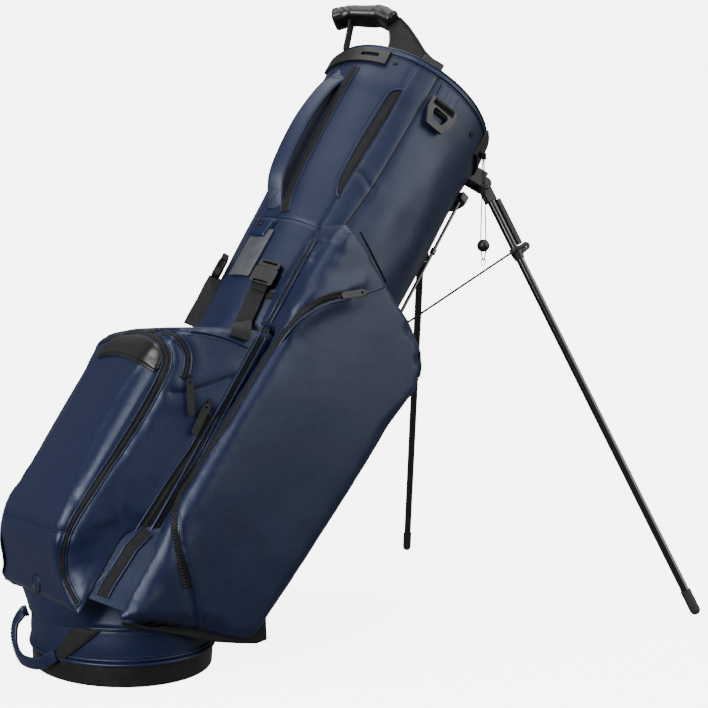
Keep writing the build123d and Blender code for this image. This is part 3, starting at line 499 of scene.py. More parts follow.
# ------------------------------------------------------------ the padded tube and its rim
def dist_to_line(X, Y, line):
    d = np.full(X.shape, 1e9)
    for (x0, y0), (x1, y1) in zip(line, line[1:]):
        dx, dy = x1 - x0, y1 - y0
        t = np.clip(((X - x0) * dx + (Y - y0) * dy) / (dx * dx + dy * dy + 1e-12), 0, 1)
        d = np.minimum(d, np.hypot(X - x0 - t * dx, Y - y0 - t * dy))
    return d


R0 = 0.12
def L(*pts):
    """(angle in degrees, u) to metres round the tube, u."""
    return [(math.radians(p % 360) * R0, u) for p, u in pts]


SEAMS = [L((-126, .874), (-126, .865), (-128, .756), (-134, .591), (-134, .537), (-137, .45)),
         L((-111, .874), (-111, .858), (-116, .672), (-124, .548), (-134, .42)),
         L((-128, .685), (-117, .673)),
         L((-186, .589), (-173, .589), (-133.5, .588)),
         L((-186, .589), (-180, .874)),
         L((180 - 46, .874), (180 - 50, .60), (180 - 56, .45)),
         L((30, .874), (34, .5), (40, .2)), L((-30, .874), (-34, .5), (-40, .2))]
CREASES = [(L((-100, .60), (-96, .68), (-88, .75)), 0.0011, 0.018), (L((-96, .56), (-84, .66)), -0.0010, 0.02),
           (L((-76, .52), (-70, .62), (-60, .66)), 0.0009, 0.02), (L((-131, .44), (-124, .50)), 0.0012, 0.010)]


def body_grid():
    nph = 540
    prof = []                                   # (u, offset of the outer face, side: 1 outer, 0 inner)
    us = list(np.linspace(.1212, .834, 230)) + list(np.linspace(.8365, .8775, 18))
    ph = np.linspace(0, 2 * math.pi, nph, endpoint=False)
    rows = []
    for u in us:
        w = min(1, max(0, (u - .800) / .035)); w = w * w * (3 - 2 * w)
        a = A(u) * (1 - w) + .1310 * w
        b = B(u) * (1 - w) + .1233 * w
        X = ph * R0
        off = np.zeros(nph)
        for ln in SEAMS:
            d = np.minimum(dist_to_line(X, np.full(nph, u), ln), np.minimum(dist_to_line(X - 2 * math.pi * R0, np.full(nph, u), ln), dist_to_line(X + 2 * math.pi * R0, np.full(nph, u), ln)))
            off -= 0.0011 * np.exp(-(d / .0022) ** 2)
            off += 0.00045 * np.exp(-((d - .010) / .007) ** 2)
        for ln, h, wd in CREASES:
            d = np.minimum(dist_to_line(X, np.full(nph, u), ln), dist_to_line(X - 2 * math.pi * R0, np.full(nph, u), ln))
            off += h * np.exp(-(d / wd) ** 2)
        off += 0.0009 * np.sin(3.1 * ph + 7 * u) * np.sin(9 * u * 3.1) * (1 - w)
        off += 0.0004 * np.sin(11 * ph + 31 * u)
        off *= min(1, max(0.0, (u - .125) / .02))
        t = np.arctan2(np.sin(ph), np.cos(ph))
        nv, ny = np.cos(ph) / a, np.sin(ph) / b
        ln_ = np.hypot(nv, ny); nv /= ln_; ny /= ln_
        rows.append((a * np.cos(ph) + nv * off, b * np.sin(ph) + ny * off, np.full(nph, u)))

    def ring(ca, cb, u):
        rows.append((ca * np.cos(ph), cb * np.sin(ph), np.full(nph, u)))
    for k, (da, u) in enumerate([(0.0002, .8790), (-.0003, .8812), (-.0013, .8829), (-.0028, .8840), (-.0050, .8845), (-.0072, .8840), (-.0086, .8828), (-.0094, .8808), (-.0097, .878)]):
        ring(.1310 + da, .1233 + da, u)
    ring(.1214, .1137, .8460); ring(.1214, .1137, .8380)
    ring(.1245, .1178, .830)
    ring(A(.8) - .0036, B(.8) - .0036, .80)
    for u in np.linspace(.75, .1225, 12):
        ring(A(u) - .0036, B(u) - .0036, u)
    ring(A(.1212) - .0030, B(.1212) - .0030, .1208)
    ring(A(.1212) - .0012, B(.1212) - .0012, .1206)
    V = []
    for x, y, u in rows:
        for i in range(nph):
            V.append(W(x[i], y[i], u[i]))
    F = []
    k = len(rows)
    for i in range(k):
        j = (i + 1) % k
        for a_ in range(nph):
            c = (a_ + 1) % nph
            F.append((i * nph + a_, i * nph + c, j * nph + c, j * nph + a_))
    n_outer = len(us) + 5
    return V, F, nph, n_outer


V, F, nph, n_outer = body_grid()
tube = mesh("bag_tube", V, F, NAVY)
tube.data.materials.append(LINING)
inner = np.zeros(len(F), dtype=np.int32)
inner[nph * (n_outer + 2):] = 1
tube.data.polygons.foreach_set("material_index", inner)
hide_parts("shell_tube", "top_cuff")
T_TUBE = bvh(tube)

# ------------------------------------------------------------ padded pockets
def pocket(node, name, cap=0.005, pressure=4.0, voxel=0.0048, wrinkle=0.0006, seed=1.0, sim=True, pull=()):
    src = N[node]
    m = src.data.copy()
    o = coll(bpy.data.objects.new(name, m))
    o.matrix_world = src.matrix_world
    bpy.context.view_layer.objects.active = o
    bpy.ops.object.select_all(action="DESELECT")
    o.select_set(True)
    md = o.modifiers.new("r", "REMESH")
    md.mode = "VOXEL"
    md.voxel_size = voxel
    md.use_smooth_shade = True
    bpy.ops.object.modifier_apply(modifier="r")
    sm = o.modifiers.new("s", "SMOOTH"); sm.iterations = 4; sm.factor = 0.5
    bpy.ops.object.modifier_apply(modifier="s")
    m = o.data
    rest = np.zeros(len(m.vertices) * 3); m.vertices.foreach_get("co", rest); rest = rest.reshape(-1, 3)
    if sim:
        vg = o.vertex_groups.new(name="pin")
        for v in m.vertices:
            p = o.matrix_world @ v.co
            hit = T_TUBE.find_nearest(p)
            if hit[3] is not None and hit[3] < 0.007:
                vg.add([v.index], 1.0, "REPLACE")
        c = o.modifiers.new("c", "CLOTH")
        st = c.settings
        st.quality = 5
        st.mass = 0.25
        st.tension_stiffness = 12
        st.compression_stiffness = 12
        st.shear_stiffness = 6
        st.bending_stiffness = 0.6
        st.use_pressure = True
        st.uniform_pressure_force = pressure
        st.effector_weights.gravity = 0
        st.vertex_group_mass = "pin"
        st.shrink_min = -0.02
        c.point_cache.frame_start = 1
        c.point_cache.frame_end = 20
        sc = bpy.context.scene
        for f in range(1, 21):
            sc.frame_set(f)
        e = o.evaluated_get(bpy.context.evaluated_depsgraph_get())
        co = np.zeros(len(m.vertices) * 3)
        e.data.vertices.foreach_get("co", co)
        co = co.reshape(-1, 3)
        o.modifiers.remove(c)
        sc.frame_set(1)
        d = co - rest
        ln = np.linalg.norm(d, axis=1, keepdims=True) + 1e-9
        rest = rest + d / ln * (cap * np.tanh(ln / cap))
    # slow leather wrinkles
    nrm = np.zeros(len(m.vertices) * 3); m.vertices.foreach_get("normal", nrm); nrm = nrm.reshape(-1, 3)
    x, y, z = rest.T
    h = np.sin(23 * x + 11 * z + seed) * np.sin(17 * z - 13 * y + 2 * seed) + 0.6 * np.sin(47 * x - 29 * z + 3 * seed) * np.sin(41 * y + 19 * z)
    rest = rest + nrm * (h * wrinkle)[:, None]
    for fn in pull:
        rest = fn(rest, nrm)
    m.vertices.foreach_set("co", rest.reshape(-1))
    m.update()
    m.materials.clear(); m.materials.append(NAVY)
    sub = o.modifiers.new("sub", "SUBSURF"); sub.levels = 1; sub.render_levels = 1
    bpy.ops.object.modifier_apply(modifier="sub")
    o.data.polygons.foreach_set("use_smooth", [True] * len(o.data.polygons))
    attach(o, "bag")
    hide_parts(node)
    return o


def groove(o, pn, depth=0.0016, width=0.0026, puff=0.0012, pw=0.010):
    """Presses a stitched line into a soft surface and puffs what is beside it."""
    P, Nn = pn
    from mathutils.kdtree import KDTree
    Q = resample(P, 0.0012)
    kd = KDTree(len(Q))
    for i, q in enumerate(Q):
        kd.insert(q, i)
    kd.balance()
    nn = [Nn[min(len(Nn) - 1, int(i / max(1, len(Q) - 1) * (len(Nn) - 1)))] for i in range(len(Q))]
    m = o.data
    mw = o.matrix_world
    mi = mw.inverted()
    for v in m.vertices:
        p = mw @ v.co
        _, i, d = kd.find(p)
        if d > 0.03:
            continue
        n = nn[i]
        if (mw.to_3x3() @ v.normal).dot(n) < 0.15:
            continue
        h = -depth * math.exp(-(d / width) ** 2) + puff * math.exp(-((d - pw) / (pw * 0.8)) ** 2)
        v.co = mi @ (p + n * h)
    m.update()


ballp = pocket("ball_pocket", "ball_pocket_leather", cap=0.0022, seed=1.0)


def low_front(o):
    """The pocket narrows towards the foot."""
    ss = lambda t: (lambda c: c * c * (3 - 2 * c))(min(max(t, 0.0), 1.0))
    mw = o.matrix_world; mi = mw.inverted()
    for v in o.data.vertices:
        p = mw @ v.co
        r = p - ORG
        t = ss((.122 - r.dot(UD)) / .075) * ss((-.130 - r.dot(VD)) / .045)
        if t > 0:
            p = p + VD * (.0125 * t)
            p.y *= 1 - .10 * t
            v.co = mi @ p
    o.data.update()


low_front(ballp)
sidep = pocket("side_pocket", "side_pocket_leather", cap=0.0030, seed=2.3)
farp = pocket("far_pocket", "far_pocket_leather", cap=0.0030, seed=4.1)
T_BALL = bvh(ballp)
T_SIDE = bvh(sidep)
T_FAR = bvh(farp)
T_ALL = bvh(tube, ballp, sidep)

Z2 = lambda *pts: [(x / 3.6, 320 + y / 3.6) for x, y in pts]
Z3 = lambda *pts: [(130 + x / 3, 230 + y / 3) for x, y in pts]
Z1 = lambda *pts: [(200 + x / 3, 20 + y / 3) for x, y in pts]

# --- ball pocket
zipA = lay(T_BALL, Z2((440, 56), (500, 48), (555, 62), (592, 100), (602, 150), (572, 230), (480, 390), (350, 590), (268, 720), (236, 800), (226, 870), (242, 950), (296, 1046), (330, 1085)), 3)
groove(ballp, zipA, 0.0022, 0.006, 0.0010, 0.014)
seamB = lay(T_BALL, Z2((25, 703), (100, 725), (180, 756), (250, 770)), 2)
groove(ballp, seamB)
seamC = lay(T_BALL, Z2((612, 262), (660, 262), (730, 245), (835, 206)), 2)
groove(ballp, seamC, 0.0014, 0.003, 0.0012, 0.012)
zipB = lay(T_BALL, Z2((575, 44), (625, 56), (655, 84), (676, 130), (672, 180), (658, 220)), 2)
groove(ballp, zipB, 0.0016, 0.005, 0.0008, 0.012)
stripB = lay(T_BALL, Z2((765, 335), (735, 400), (700, 470), (625, 580), (545, 705), (455, 850), (385, 960)), 2)
groove(ballp, stripB, 0.0020, 0.006, 0.0008, 0.013)
T_BALL = bvh(ballp)
for nm, view, w in (("zip_front", Z2((440, 56), (500, 48), (555, 62), (592, 100), (602, 150), (572, 230), (480, 390), (350, 590), (268, 720), (236, 800), (226, 870), (242, 950), (296, 1046), (330, 1085)), 0.0105),
                    ("zip_top", Z2((575, 44), (625, 56), (655, 84), (676, 130), (672, 180), (658, 220)), 0.0085),
                    ("zip_low", Z2((765, 335), (735, 400), (700, 470), (625, 580), (545, 705), (455, 850), (385, 960)), 0.013)):
    pn = lay(T_BALL, view, 3)
    tp_f = (lambda f: 1.0 - 0.42 * min(1, max(0, (f - .35) / .4))) if nm == "zip_front" else None
    ribbon(nm + "_tape", pn, w, 0.0016, TAPE, off=0.0006, taper=tp_f)
    ribbon(nm + "_garage", pn, w * 0.32, 0.0022, TAPE, off=0.0012)
    for sd in (-1, 1):
        kf = len(pn[0]) - 1
        P2 = [p + t[2] * (sd * w * 0.56 * (tp_f(i / kf) if tp_f else 1)) for i, (p, t) in enumerate(zip(pn[0], frames(pn[0], pn[1])))]
        q = [T_BALL.find_nearest(p) for p in P2]
        pn2 = ([h[0] for h in q], pn[1])
        piping(nm + "_piping_%d" % (sd + 2), pn2, 0.0012, off=0.0006)
piping("ball_seam_cross", lay(T_BALL, Z2((25, 703), (100, 725), (180, 756), (246, 770)), 2), 0.0013, off=0.0002)
stitches("ball_seam_stitch", lay(T_BALL, Z2((27, 714), (100, 736), (180, 767), (240, 780)), 2))
stitches("ball_side_stitch", lay(T_BALL, Z2((616, 270), (662, 271), (732, 254), (832, 216)), 2))
# black leather flap on the shoulder of the front panel
def patch(name, tree, outline, mat, thick=0.0022, nx=26, ny=16, body="bag"):
    """outline: four view curves? a quad grid between two view lines (top, bottom), laid on a surface."""
    top, bot = outline
    tp = resample(catmull([(x, y, 0) for x, y in top], 8), 0.5)
    bt = resample(catmull([(x, y, 0) for x, y in bot], 8), 0.5)
    V, Vn = [], []
    for i in range(nx + 1):
        a = tp[int(round(i / nx * (len(tp) - 1)))]
        b = bt[int(round(i / nx * (len(bt) - 1)))]
        for j in range(ny + 1):
            p = a.lerp(b, j / ny)
            d = ray(p.x, p.y)
            hit, n, _, _ = tree.ray_cast(CAM, d)
            if hit is None:
                hit, n, _, _ = tree.find_nearest(CAM + d * 1.5)
            if n.dot(d) > 0:
                n = -n
            V.append(hit); Vn.append(n)
    k = len(V)
    F = []
    m = ny + 1
    edge = lambda i, j: min(i, nx - i, j, ny - j)
    VV = []
    for idx, (p, n) in enumerate(zip(V, Vn)):
        i, j = divmod(idx, m)
        e = min(1, edge(i, j) / 1.5)
        VV.append(p + n * (thick * (0.25 + 0.75 * math.sqrt(e))))
    VV += [p - n * 0.0008 for p, n in zip(V, Vn)]
    for i in range(nx):
        for j in range(ny):
            a, b, c, d = i * m + j, (i + 1) * m + j, (i + 1) * m + j + 1, i * m + j + 1
            F.append((a, b, c, d)); F.append((k + a, k + d, k + c, k + b))
    for i in range(nx):
        for j, s in ((0, 1), (ny, -1)):
            a, b = i * m + j, (i + 1) * m + j
            F.append((a, k + a, k + b, b) if s > 0 else (a, b, k + b, k + a))
    for j in range(ny):
        for i, s in ((0, 1), (nx, -1)):
            a, b = i * m + j, i * m + j + 1
            F.append((a, b, k + b, k + a) if s > 0 else (a, k + a, k + b, b))
    return mesh(name, VV, F, mat, body)


patch("ball_flap", T_BALL, (Z2((352, 118), (400, 76), (450, 58), (510, 56), (560, 82), (582, 118), (580, 150)), Z2((352, 134), (400, 122), (450, 128), (500, 148), (540, 172), (560, 184), (572, 172))), BLACKL, 0.0030)
piping("ball_flap_edge", lay(T_BALL, Z2((350, 138), (400, 126), (450, 131), (500, 151), (540, 176), (562, 188)), 2), 0.0017, BLACKL, off=0.0012)
# blank round badge
bp, bn, _, _ = T_BALL.ray_cast(CAM, ray(131 / 3.6, 320 + 948 / 3.6))
if bp is not None:
    if bn.dot(FWD) > 0: bn = -bn
    cx = bn.orthogonal().normalized(); cy = bn.cross(cx)
    ringP = [bp + (cx * math.cos(a) + cy * math.sin(a)) * 0.0105 for a in np.linspace(0, 2 * math.pi, 40, endpoint=False)]
    sweep("badge_ring", ringP, circ(0.0012, 8), DARKM, "bag", bn, True)
    disc = [bp + bn * 0.0008] + [bp + bn * 0.0006 + (cx * math.cos(a) + cy * math.sin(a)) * 0.0100 for a in np.linspace(0, 2 * math.pi, 40, endpoint=False)]
    mesh("badge_disc", disc, [(0, 1 + i, 1 + (i + 1) % 40) for i in range(40)], NAVY2)

# --- side pocket
leftE = Z3((556, 26), (500, 128), (440, 240), (330, 440), (180, 716), (60, 930), (0, 1044), (-42, 1114), (-66, 1166))
innerZ = Z3((668, 190), (600, 203), (530, 238), (470, 300), (400, 402), (300, 568), (200, 722), (152, 800), (137, 850), (141, 950), (172, 1060), (200, 1196))
outerP = Z3((690, 196), (740, 178), (776, 171), (815, 232), (850, 292), (872, 350), (874, 400), (862, 462), (838, 530), (740, 700), (640, 868), (556, 1000), (480, 1130), (412, 1232), (380, 1246), (250, 1240), (120, 1212), (0, 1186), (-25, 1182))
rightP = Z3((850, 545), (780, 668), (700, 802), (610, 950), (548, 1050))
topS = Z3((690, 0), (722, 62), (770, 160))
T_NS = bvh(sidep, tube)
for pth, dp in ((innerZ, 0.0014), (rightP, 0.0010)):
    groove(sidep, lay(T_SIDE, pth, 2), dp, 0.003, 0.0010, 0.012)
groove(sidep, lay(T_SIDE, Z3((470, 300), (560, 236), (640, 196)), 2), -0.0030, 0.012, 0, 0.02)
groove(sidep, lay(T_SIDE, Z3((700, 150), (640, 176), (560, 196), (480, 240)), 2), -0.0028, 0.010, 0, 0.02)
T_SIDE = bvh(sidep)
T_NS = bvh(sidep, tube, ballp)
pi = lay(T_SIDE, innerZ, 3)
ribbon("side_zip_tape", lay(T_SIDE, innerZ[:-1] + Z3((176, 1082)), 3), 0.0100, 0.0014, TAPE, off=0.0004)
fr = frames(pi[0], pi[1])
sgn = 1 if (fr[len(fr) // 2][2]).dot(RIGHT) > 0 else -1
inner_side = ([p + f[2] * (sgn * 0.0062) for p, f in zip(pi[0], fr)], pi[1])
piping("side_zip_piping", inner_side, 0.0019, off=0.0010)
ts = lay(T_SIDE, Z3((137, 850), (136, 920), (146, 1000), (166, 1080)), 2)
teeth("side_zip_teeth", ts, 0.0075, 0.0019, off=0.0014)
teeth("side_zip_teeth2", lay(T_SIDE, Z3((640, 200), (590, 206), (530, 240), (470, 300), (400, 402), (300, 568), (200, 722), (154, 800)), 2), 0.0045, 0.0019, off=0.0012)
stitches("side_zip_stitch", ([p + f[2] * (sgn * 0.0100) for p, f in zip(pi[0], fr)], pi[1]), off=0.0002)
po = lay(T_SIDE, outerP, 2)
piping("side_outer_piping", po, 0.0021, off=0.0006)
piping("side_right_piping", lay(T_SIDE, rightP, 2), 0.0016, off=0.0006)
pl_ = lay(T_NS, leftE, 3)
ribbon("side_left_tape", pl_, 0.0060, 0.0014, TAPE, off=0.0006)
f2 = frames(pl_[0], pl_[1])
for sd in (-1, 1):
    piping("side_left_piping_%d" % (sd + 2), ([p + f[2] * (sd * 0.0048) for p, f in zip(pl_[0], f2)], pl_[1]), 0.0016, off=0.0010)
piping("side_top_seam", lay(T_NS, topS, 2), 0.0015, off=0.0004)

# --- tube panels
def tsl(*pts, off=0.0):
    """(angle, u) points on the tube."""
    out = []
    for p, u in pts:
        a = math.radians(p)
        g = 1 + off / .12
        ra, rb = (A(u), B(u)) if u < .82 else (.131, .1233)
        out.append(W(ra * g * math.cos(a), rb * g * math.sin(a), u))
    return out


def seamline(name, pts, r=0.0011, dark=False, st=None):
    pn = lay_ts(T_TUBE, tsl(*pts), 1, 0.004)
    piping(name, pn, r, TAPE if dark else NAVY2, off=-0.0002)
    if st:
        stitches(name + "_stitch", pn, st, off=0.0004)
    return pn


seamline("seam_front", ((-126, .872), (-126, .865), (-127, .80), (-128, .756), (-131, .68), (-134, .591), (-134, .537), (-137, .46)), 0.0012, False, 0.004)
seamline("seam_side", ((-111, .872), (-111, .858), (-113, .78), (-116, .672), (-124, .548)), 0.0011, True, 0.004)
seamline("seam_short", ((-128, .685), (-117, .673)), 0.0010)
seamline("seam_cross", ((-186, .589), (-173, .589), (-150, .589), (-133.5, .588)), 0.0012, False, -0.004)
seamline("seam_far", ((134, .872), (130, .60), (124, .45)), 0.0011, False, 0.004)
seamline("seam_far_side", ((100, .872), (104, .55)), 0.0011, False, 0.004)
seamline("seam_under_a", ((30, .872), (34, .5), (40, .2)), 0.0011)
seamline("seam_under_b", ((-30, .872), (-34, .6)), 0.0011)
# rim piping, double, and its stitches
rim = lay_ts(T_TUBE, [W(.131 * math.cos(a), .1233 * math.sin(a), .8745) for a in np.linspace(0, 2 * math.pi, 60, endpoint=False)], 0, 0.005, True)
piping("rim_piping_low", rim, 0.0015, off=0.0006, closed=True)
rim2 = [W(.1300 * math.cos(a), .1223 * math.sin(a), .8832) for a in np.linspace(0, 2 * math.pi, 160, endpoint=False)]
sweep("rim_piping_top", rim2, circ(0.0016, 10), NAVY2, "bag", UD, True)
stitches("rim_stitch", lay_ts(T_TUBE, [W(.131 * math.cos(a), .1233 * math.sin(a), .8700) for a in np.linspace(0, 2 * math.pi, 60)], 0, 0.005))
# black stripe behind the grab handle, with a guard strip and piping at both edges
stripe = lay(T_TUBE, Z1((468, 138), (430, 205), (385, 285), (335, 378), (300, 448), (268, 520), (252, 582)), 2)
ribbon("spine_zip_tape", stripe, 0.0125, 0.0016, TAPE, off=0.0006)
ribbon("spine_zip_guard", stripe, 0.0045, 0.0024, TAPE, off=0.0010)
fs = frames(stripe[0], stripe[1])
for sd in (-1, 1):
    piping("spine_zip_piping_%d" % (sd + 2), ([p + f[2] * (sd * 0.0072) for p, f in zip(stripe[0], fs)], stripe[1]), 0.0013, off=0.0004)
# slit pocket: dark inset with piped lips
sl_l = Z1((598, 212), (572, 222), (555, 245), (522, 300), (490, 350), (462, 400), (440, 445), (418, 490), (415, 522))
sl_r = Z1((602, 212), (590, 240), (570, 275), (545, 312), (520, 355), (497, 392), (470, 438), (440, 482), (418, 526))
patch("slit_inset", T_TUBE, (sl_l, sl_r), TAPE, 0.0012, 40, 8)
piping("slit_lip", lay(T_TUBE, Z1((606, 210), (575, 214), (552, 240), (520, 292), (487, 344), (460, 392), (436, 438), (413, 486), (411, 520), (416, 534)), 1), 0.0017, off=0.0008)
piping("slit_lip2", lay(T_TUBE, sl_r, 1), 0.0010, TAPE, off=0.0004)
stitches("slit_stitch", lay(T_TUBE, Z1((596, 202), (568, 206), (545, 232), (512, 285), (480, 338), (452, 388), (428, 434), (404, 482), (402, 520)), 1))

# --- folded leather tab with an eyelet above the metal plate
patch("plate_tab", T_TUBE, (Z1((176, 596), (205, 596), (236, 600)), Z1((146, 650), (168, 655), (196, 656))), NAVY2, 0.0062, 16, 12)
ep, en, _, _ = T_TUBE.ray_cast(CAM, ray(200 + 190 / 3, 20 + 614 / 3))
if ep is not None:
    if en.dot(FWD) > 0: en = -en
    ex = en.orthogonal().normalized(); ey = en.cross(ex)
    sweep("tab_eyelet", [ep + en * 0.0066 + (ex * math.cos(a) + ey * math.sin(a)) * 0.0042 for a in np.linspace(0, 2 * math.pi, 28, endpoint=False)], circ(0.0014, 8), DARKM, "bag", en, True)
ribbon("buckle_side_tab", lay(T_TUBE, Z1((196, 826), (220, 828), (244, 830)), 1), 0.010, 0.0016, WEB, off=0.0012)

# ------------------------------------------------------------ carry handles
def ts_path(pts, y=-.012):
    return catmull([W(v, y, u) for v, u in pts], 14)


gp = ts_path(((-.1235, .842), (-.130, .822), (-.140, .796), (-.147, .742), (-.146, .690), (-.140, .647), (-.128, .622), (-.1165, .604)))
gl = len(gp)
outn = [(-VD * math.cos(0.0)).normalized()] * gl
WD = (YD * 0.906 - VD * 0.423).normalized()
gfr = frames(gp, WD)
gn = [f[2] if f[2].dot(-VD) > 0 else -f[2] for f in gfr]
strapm = sweep("grab_handle_strap", gp, rrect(0.0255, 0.0060, 0.0027), NAVY, "bag", gn)
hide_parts("grab_handle")
sweep("grab_handle_lining", gp, rrect(0.0205, 0.003, 0.0012), WEB, "bag", gn, False, -0.0028)
for sd in (-1, 1):
    stitches("grab_stitch_%d" % (sd + 2), ([p + WD * (sd * 0.0100) for p in gp], gn), off=0.0031, mat=THREAD)
# box-and-cross stitching where it is sewn down
for k0, k1 in ((2, 16), (gl - 18, gl - 4)):
    a, b = gp[k0], gp[k1]
    n0 = gn[(k0 + k1) // 2]
    c4 = [a + WD * .0085, a - WD * .0085, b - WD * .0085, b + WD * .0085]
    for i, (p, q) in enumerate(((c4[0], c4[1]), (c4[3], c4[2]), (c4[0], c4[2]), (c4[1], c4[3]))):
        stitches("grab_box_%d_%d" % (k0, i), ([p, (p + q) / 2, q], [n0] * 3), off=0.0036, mat=THREAD, pitch=0.0036)

# top grip: wrinkled padded sleeve with bound ends
def remeshed(node, name, voxel, mat, fn, body="bag", levels=1):
    src = N[node]
    o = coll(bpy.data.objects.new(name, src.data.copy()))
    o.matrix_world = src.matrix_world
    bpy.context.view_layer.objects.active = o
    bpy.ops.object.select_all(action="DESELECT")
    o.select_set(True)
    md = o.modifiers.new("r", "REMESH"); md.mode = "VOXEL"; md.voxel_size = voxel
    bpy.ops.object.modifier_apply(modifier="r")
    sm = o.modifiers.new("s", "SMOOTH"); sm.iterations = 5
    bpy.ops.object.modifier_apply(modifier="s")
    m = o.data
    co = np.zeros(len(m.vertices) * 3); m.vertices.foreach_get("co", co); co = co.reshape(-1, 3)
    nr = np.zeros(len(m.vertices) * 3); m.vertices.foreach_get("normal", nr); nr = nr.reshape(-1, 3)
    co = co + nr * fn(co)[:, None]
    m.vertices.foreach_set("co", co.reshape(-1)); m.update()
    m.materials.clear(); m.materials.append(mat)
    m.polygons.foreach_set("use_smooth", [True] * len(m.polygons))
    if body:
        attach(o, body)
    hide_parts(node)
    return o


HC = Vector((0.069 / .1393, -0.121 / .1393))
HX = (VD * HC.x + YD * HC.y).normalized()
HN = (VD * -HC.y + YD * HC.x).normalized()
H = lambda t, u: W(-.129 + t * HC.x, .015 + t * HC.y, u)


def grip_fn(co):
    t = co @ np.array(HX); q = co @ np.array(UD); r = co @ np.array(HN)
    return 0.00035 * np.sin(t * 420 + 5 * np.sin(q * 160) + 3 * np.sin(r * 210)) * (0.5 + 0.5 * np.sin(t * 97 + q * 60)) + 0.0007 * np.sin(t * 90 + r * 60 + 1) + 0.0012


grip = remeshed("top_handle_grip", "top_grip_leather", 0.0016, BLACKL, grip_fn)
# stitched binding at the grip's ends and its seam underneath
gl_pts = catmull([H(-.041, .937), H(-.016, .949), H(.028, .956), H(.048, .949)], 14)
gfr2 = frames(gl_pts, HN)
for nm, i in (("a", 1), ("b", len(gl_pts) - 2)):
    t, n, b = gfr2[i]
    prof = rrect(0.0215, 0.0315, 0.0075, 5)
    ringp = [gl_pts[i] + b * x + n * y for x, y in prof]
    sweep("grip_binding_" + nm, resample(ringp, 0.002, True), circ(0.0011, 8), BLACKL, "bag", t, True)
stitches("grip_seam", ([p - f[2] * 0.0 + UD * -0.0108 for p, f in zip(gl_pts, gfr2)], [UD * -1] * len(gl_pts)), mat=THREADK, off=0.0)

# the strap's stitching
wing = [H(t / 1000, u / 1000) - HN * 0.0013 for t, u in ((49, 954), (58, 952), (76, 940), (100, 919.5), (118, 902.5), (134, 891))]
nw = HN * -1 if HN.dot(FWD) > 0 else HN
wing = [p + nw * 0.0026 if (p - H(0, .9)).dot(nw) < 0 else p for p in wing]
stitches("wing_stitch", (wing, [nw] * len(wing)), mat=THREADK, off=0.0004)
wb = [H(t / 1000, u / 1000) + nw * 0.0014 for t, u in ((46, 958), (58, 956), (76, 944), (100, 923.5), (120, 905), (137, 894))]
sweep("wing_binding", resample(wb, 0.003), circ(0.0017, 8), BLACKL, "bag", nw)
wl = [H(t / 1000, u / 1000) + nw * 0.0014 for t, u in ((47, 938), (53, 928), (60, 914), (66, 892))]
sweep("wing_binding_left", resample(wl, 0.003), circ(0.0015, 8), BLACKL, "bag", nw)

# ------------------------------------------------------------ base
# collar: soft leather band, with piping at its edges
EA, EB = .1035, .1306
ph = np.linspace(0, 2 * math.pi, 240, endpoint=False)
def ellipse_path(a, b, z, cx=0.0, n=200):
    return [Vector((cx + a * math.cos(t), b * math.sin(t), z)) for t in np.linspace(0, 2 * math.pi, n, endpoint=False)]


def collar_fn(co):
    th = np.arctan2(co[:, 1] / EB, co[:, 0] / EA)
    return 0.0006 * np.sin(9 * th + 60 * co[:, 2]) + 0.0008 * np.exp(-((co[:, 2] - .045) / .013) ** 2) - 0.0004


collar = remeshed("base_collar", "base_collar_leather", 0.0019, NAVY, collar_fn, "base")
def band_path(a, b, z, skip=True):
    """Round the base at height z, as a whole ellipse; no opening is left where the hinge arms pass."""
    return ellipse_path(a, b, z)


sweep("base_piping_low", ellipse_path(EA + .0012, EB + .0012, .0262), circ(0.0019, 10), NAVY2, "base", Vector((0, 0, 1)), True)
sweep("base_piping_low2", ellipse_path(EA + .0008, EB + .0008, .0312), circ(0.0013, 10), NAVY2, "base", Vector((0, 0, 1)), True)
# the top edge, in runs between the arm slots
for tag, a0, a1 in (("a", 30, 330), ("b", -12, 12)):
    pth = [Vector((EA * math.cos(math.radians(t)) * .997, EB * math.sin(math.radians(t)) * .997, .0652)) for t in np.linspace(a0, a1, 200 if tag == "a" else 24)]
    sweep("base_piping_top_" + tag, pth, circ(0.0016, 10), NAVY2, "base", Vector((0, 0, 1)))
pth = [Vector((EA * math.cos(math.radians(t)), EB * math.sin(math.radians(t)), .0600)) for t in np.linspace(32, 328, 240)]
stitches("base_stitch_top", (pth, [Vector((p.x / EA, p.y / EB, 0)).normalized() for p in pth]), body="base", off=0.0006)
pth = [Vector((EA * math.cos(math.radians(t)), EB * math.sin(math.radians(t)), .0350)) for t in np.linspace(0, 360, 240)]
stitches("base_stitch_low", (pth, [Vector((p.x / EA, p.y / EB, 0)).normalized() for p in pth]), body="base", off=0.0008)

# gusset, finely divided and given a small ripple
gus_m = N["base_gusset"].data.copy()
gus = coll(bpy.data.objects.new("gusset_fabric", gus_m))
gus.matrix_world = N["base_gusset"].matrix_world
bpy.context.view_layer.objects.active = gus
bpy.ops.object.select_all(action="DESELECT"); gus.select_set(True)
md = gus.modifiers.new("r", "REMESH"); md.mode = "VOXEL"; md.voxel_size = 0.0014
bpy.ops.object.modifier_apply(modifier="r")
gm = gus.data
co = np.zeros(len(gm.vertices) * 3); gm.vertices.foreach_get("co", co); co = co.reshape(-1, 3)
nr = np.zeros(len(gm.vertices) * 3); gm.vertices.foreach_get("normal", nr); nr = nr.reshape(-1, 3)
co += nr * (0.0006 * np.sin(co[:, 1] * 330 + co[:, 2] * 90))[:, None]
gm.vertices.foreach_set("co", co.reshape(-1)); gm.update()
gm.materials.clear(); gm.materials.append(LINING)
gm.polygons.foreach_set("use_smooth", [True] * len(gm.polygons))
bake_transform(gus)
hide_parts("base_gusset")

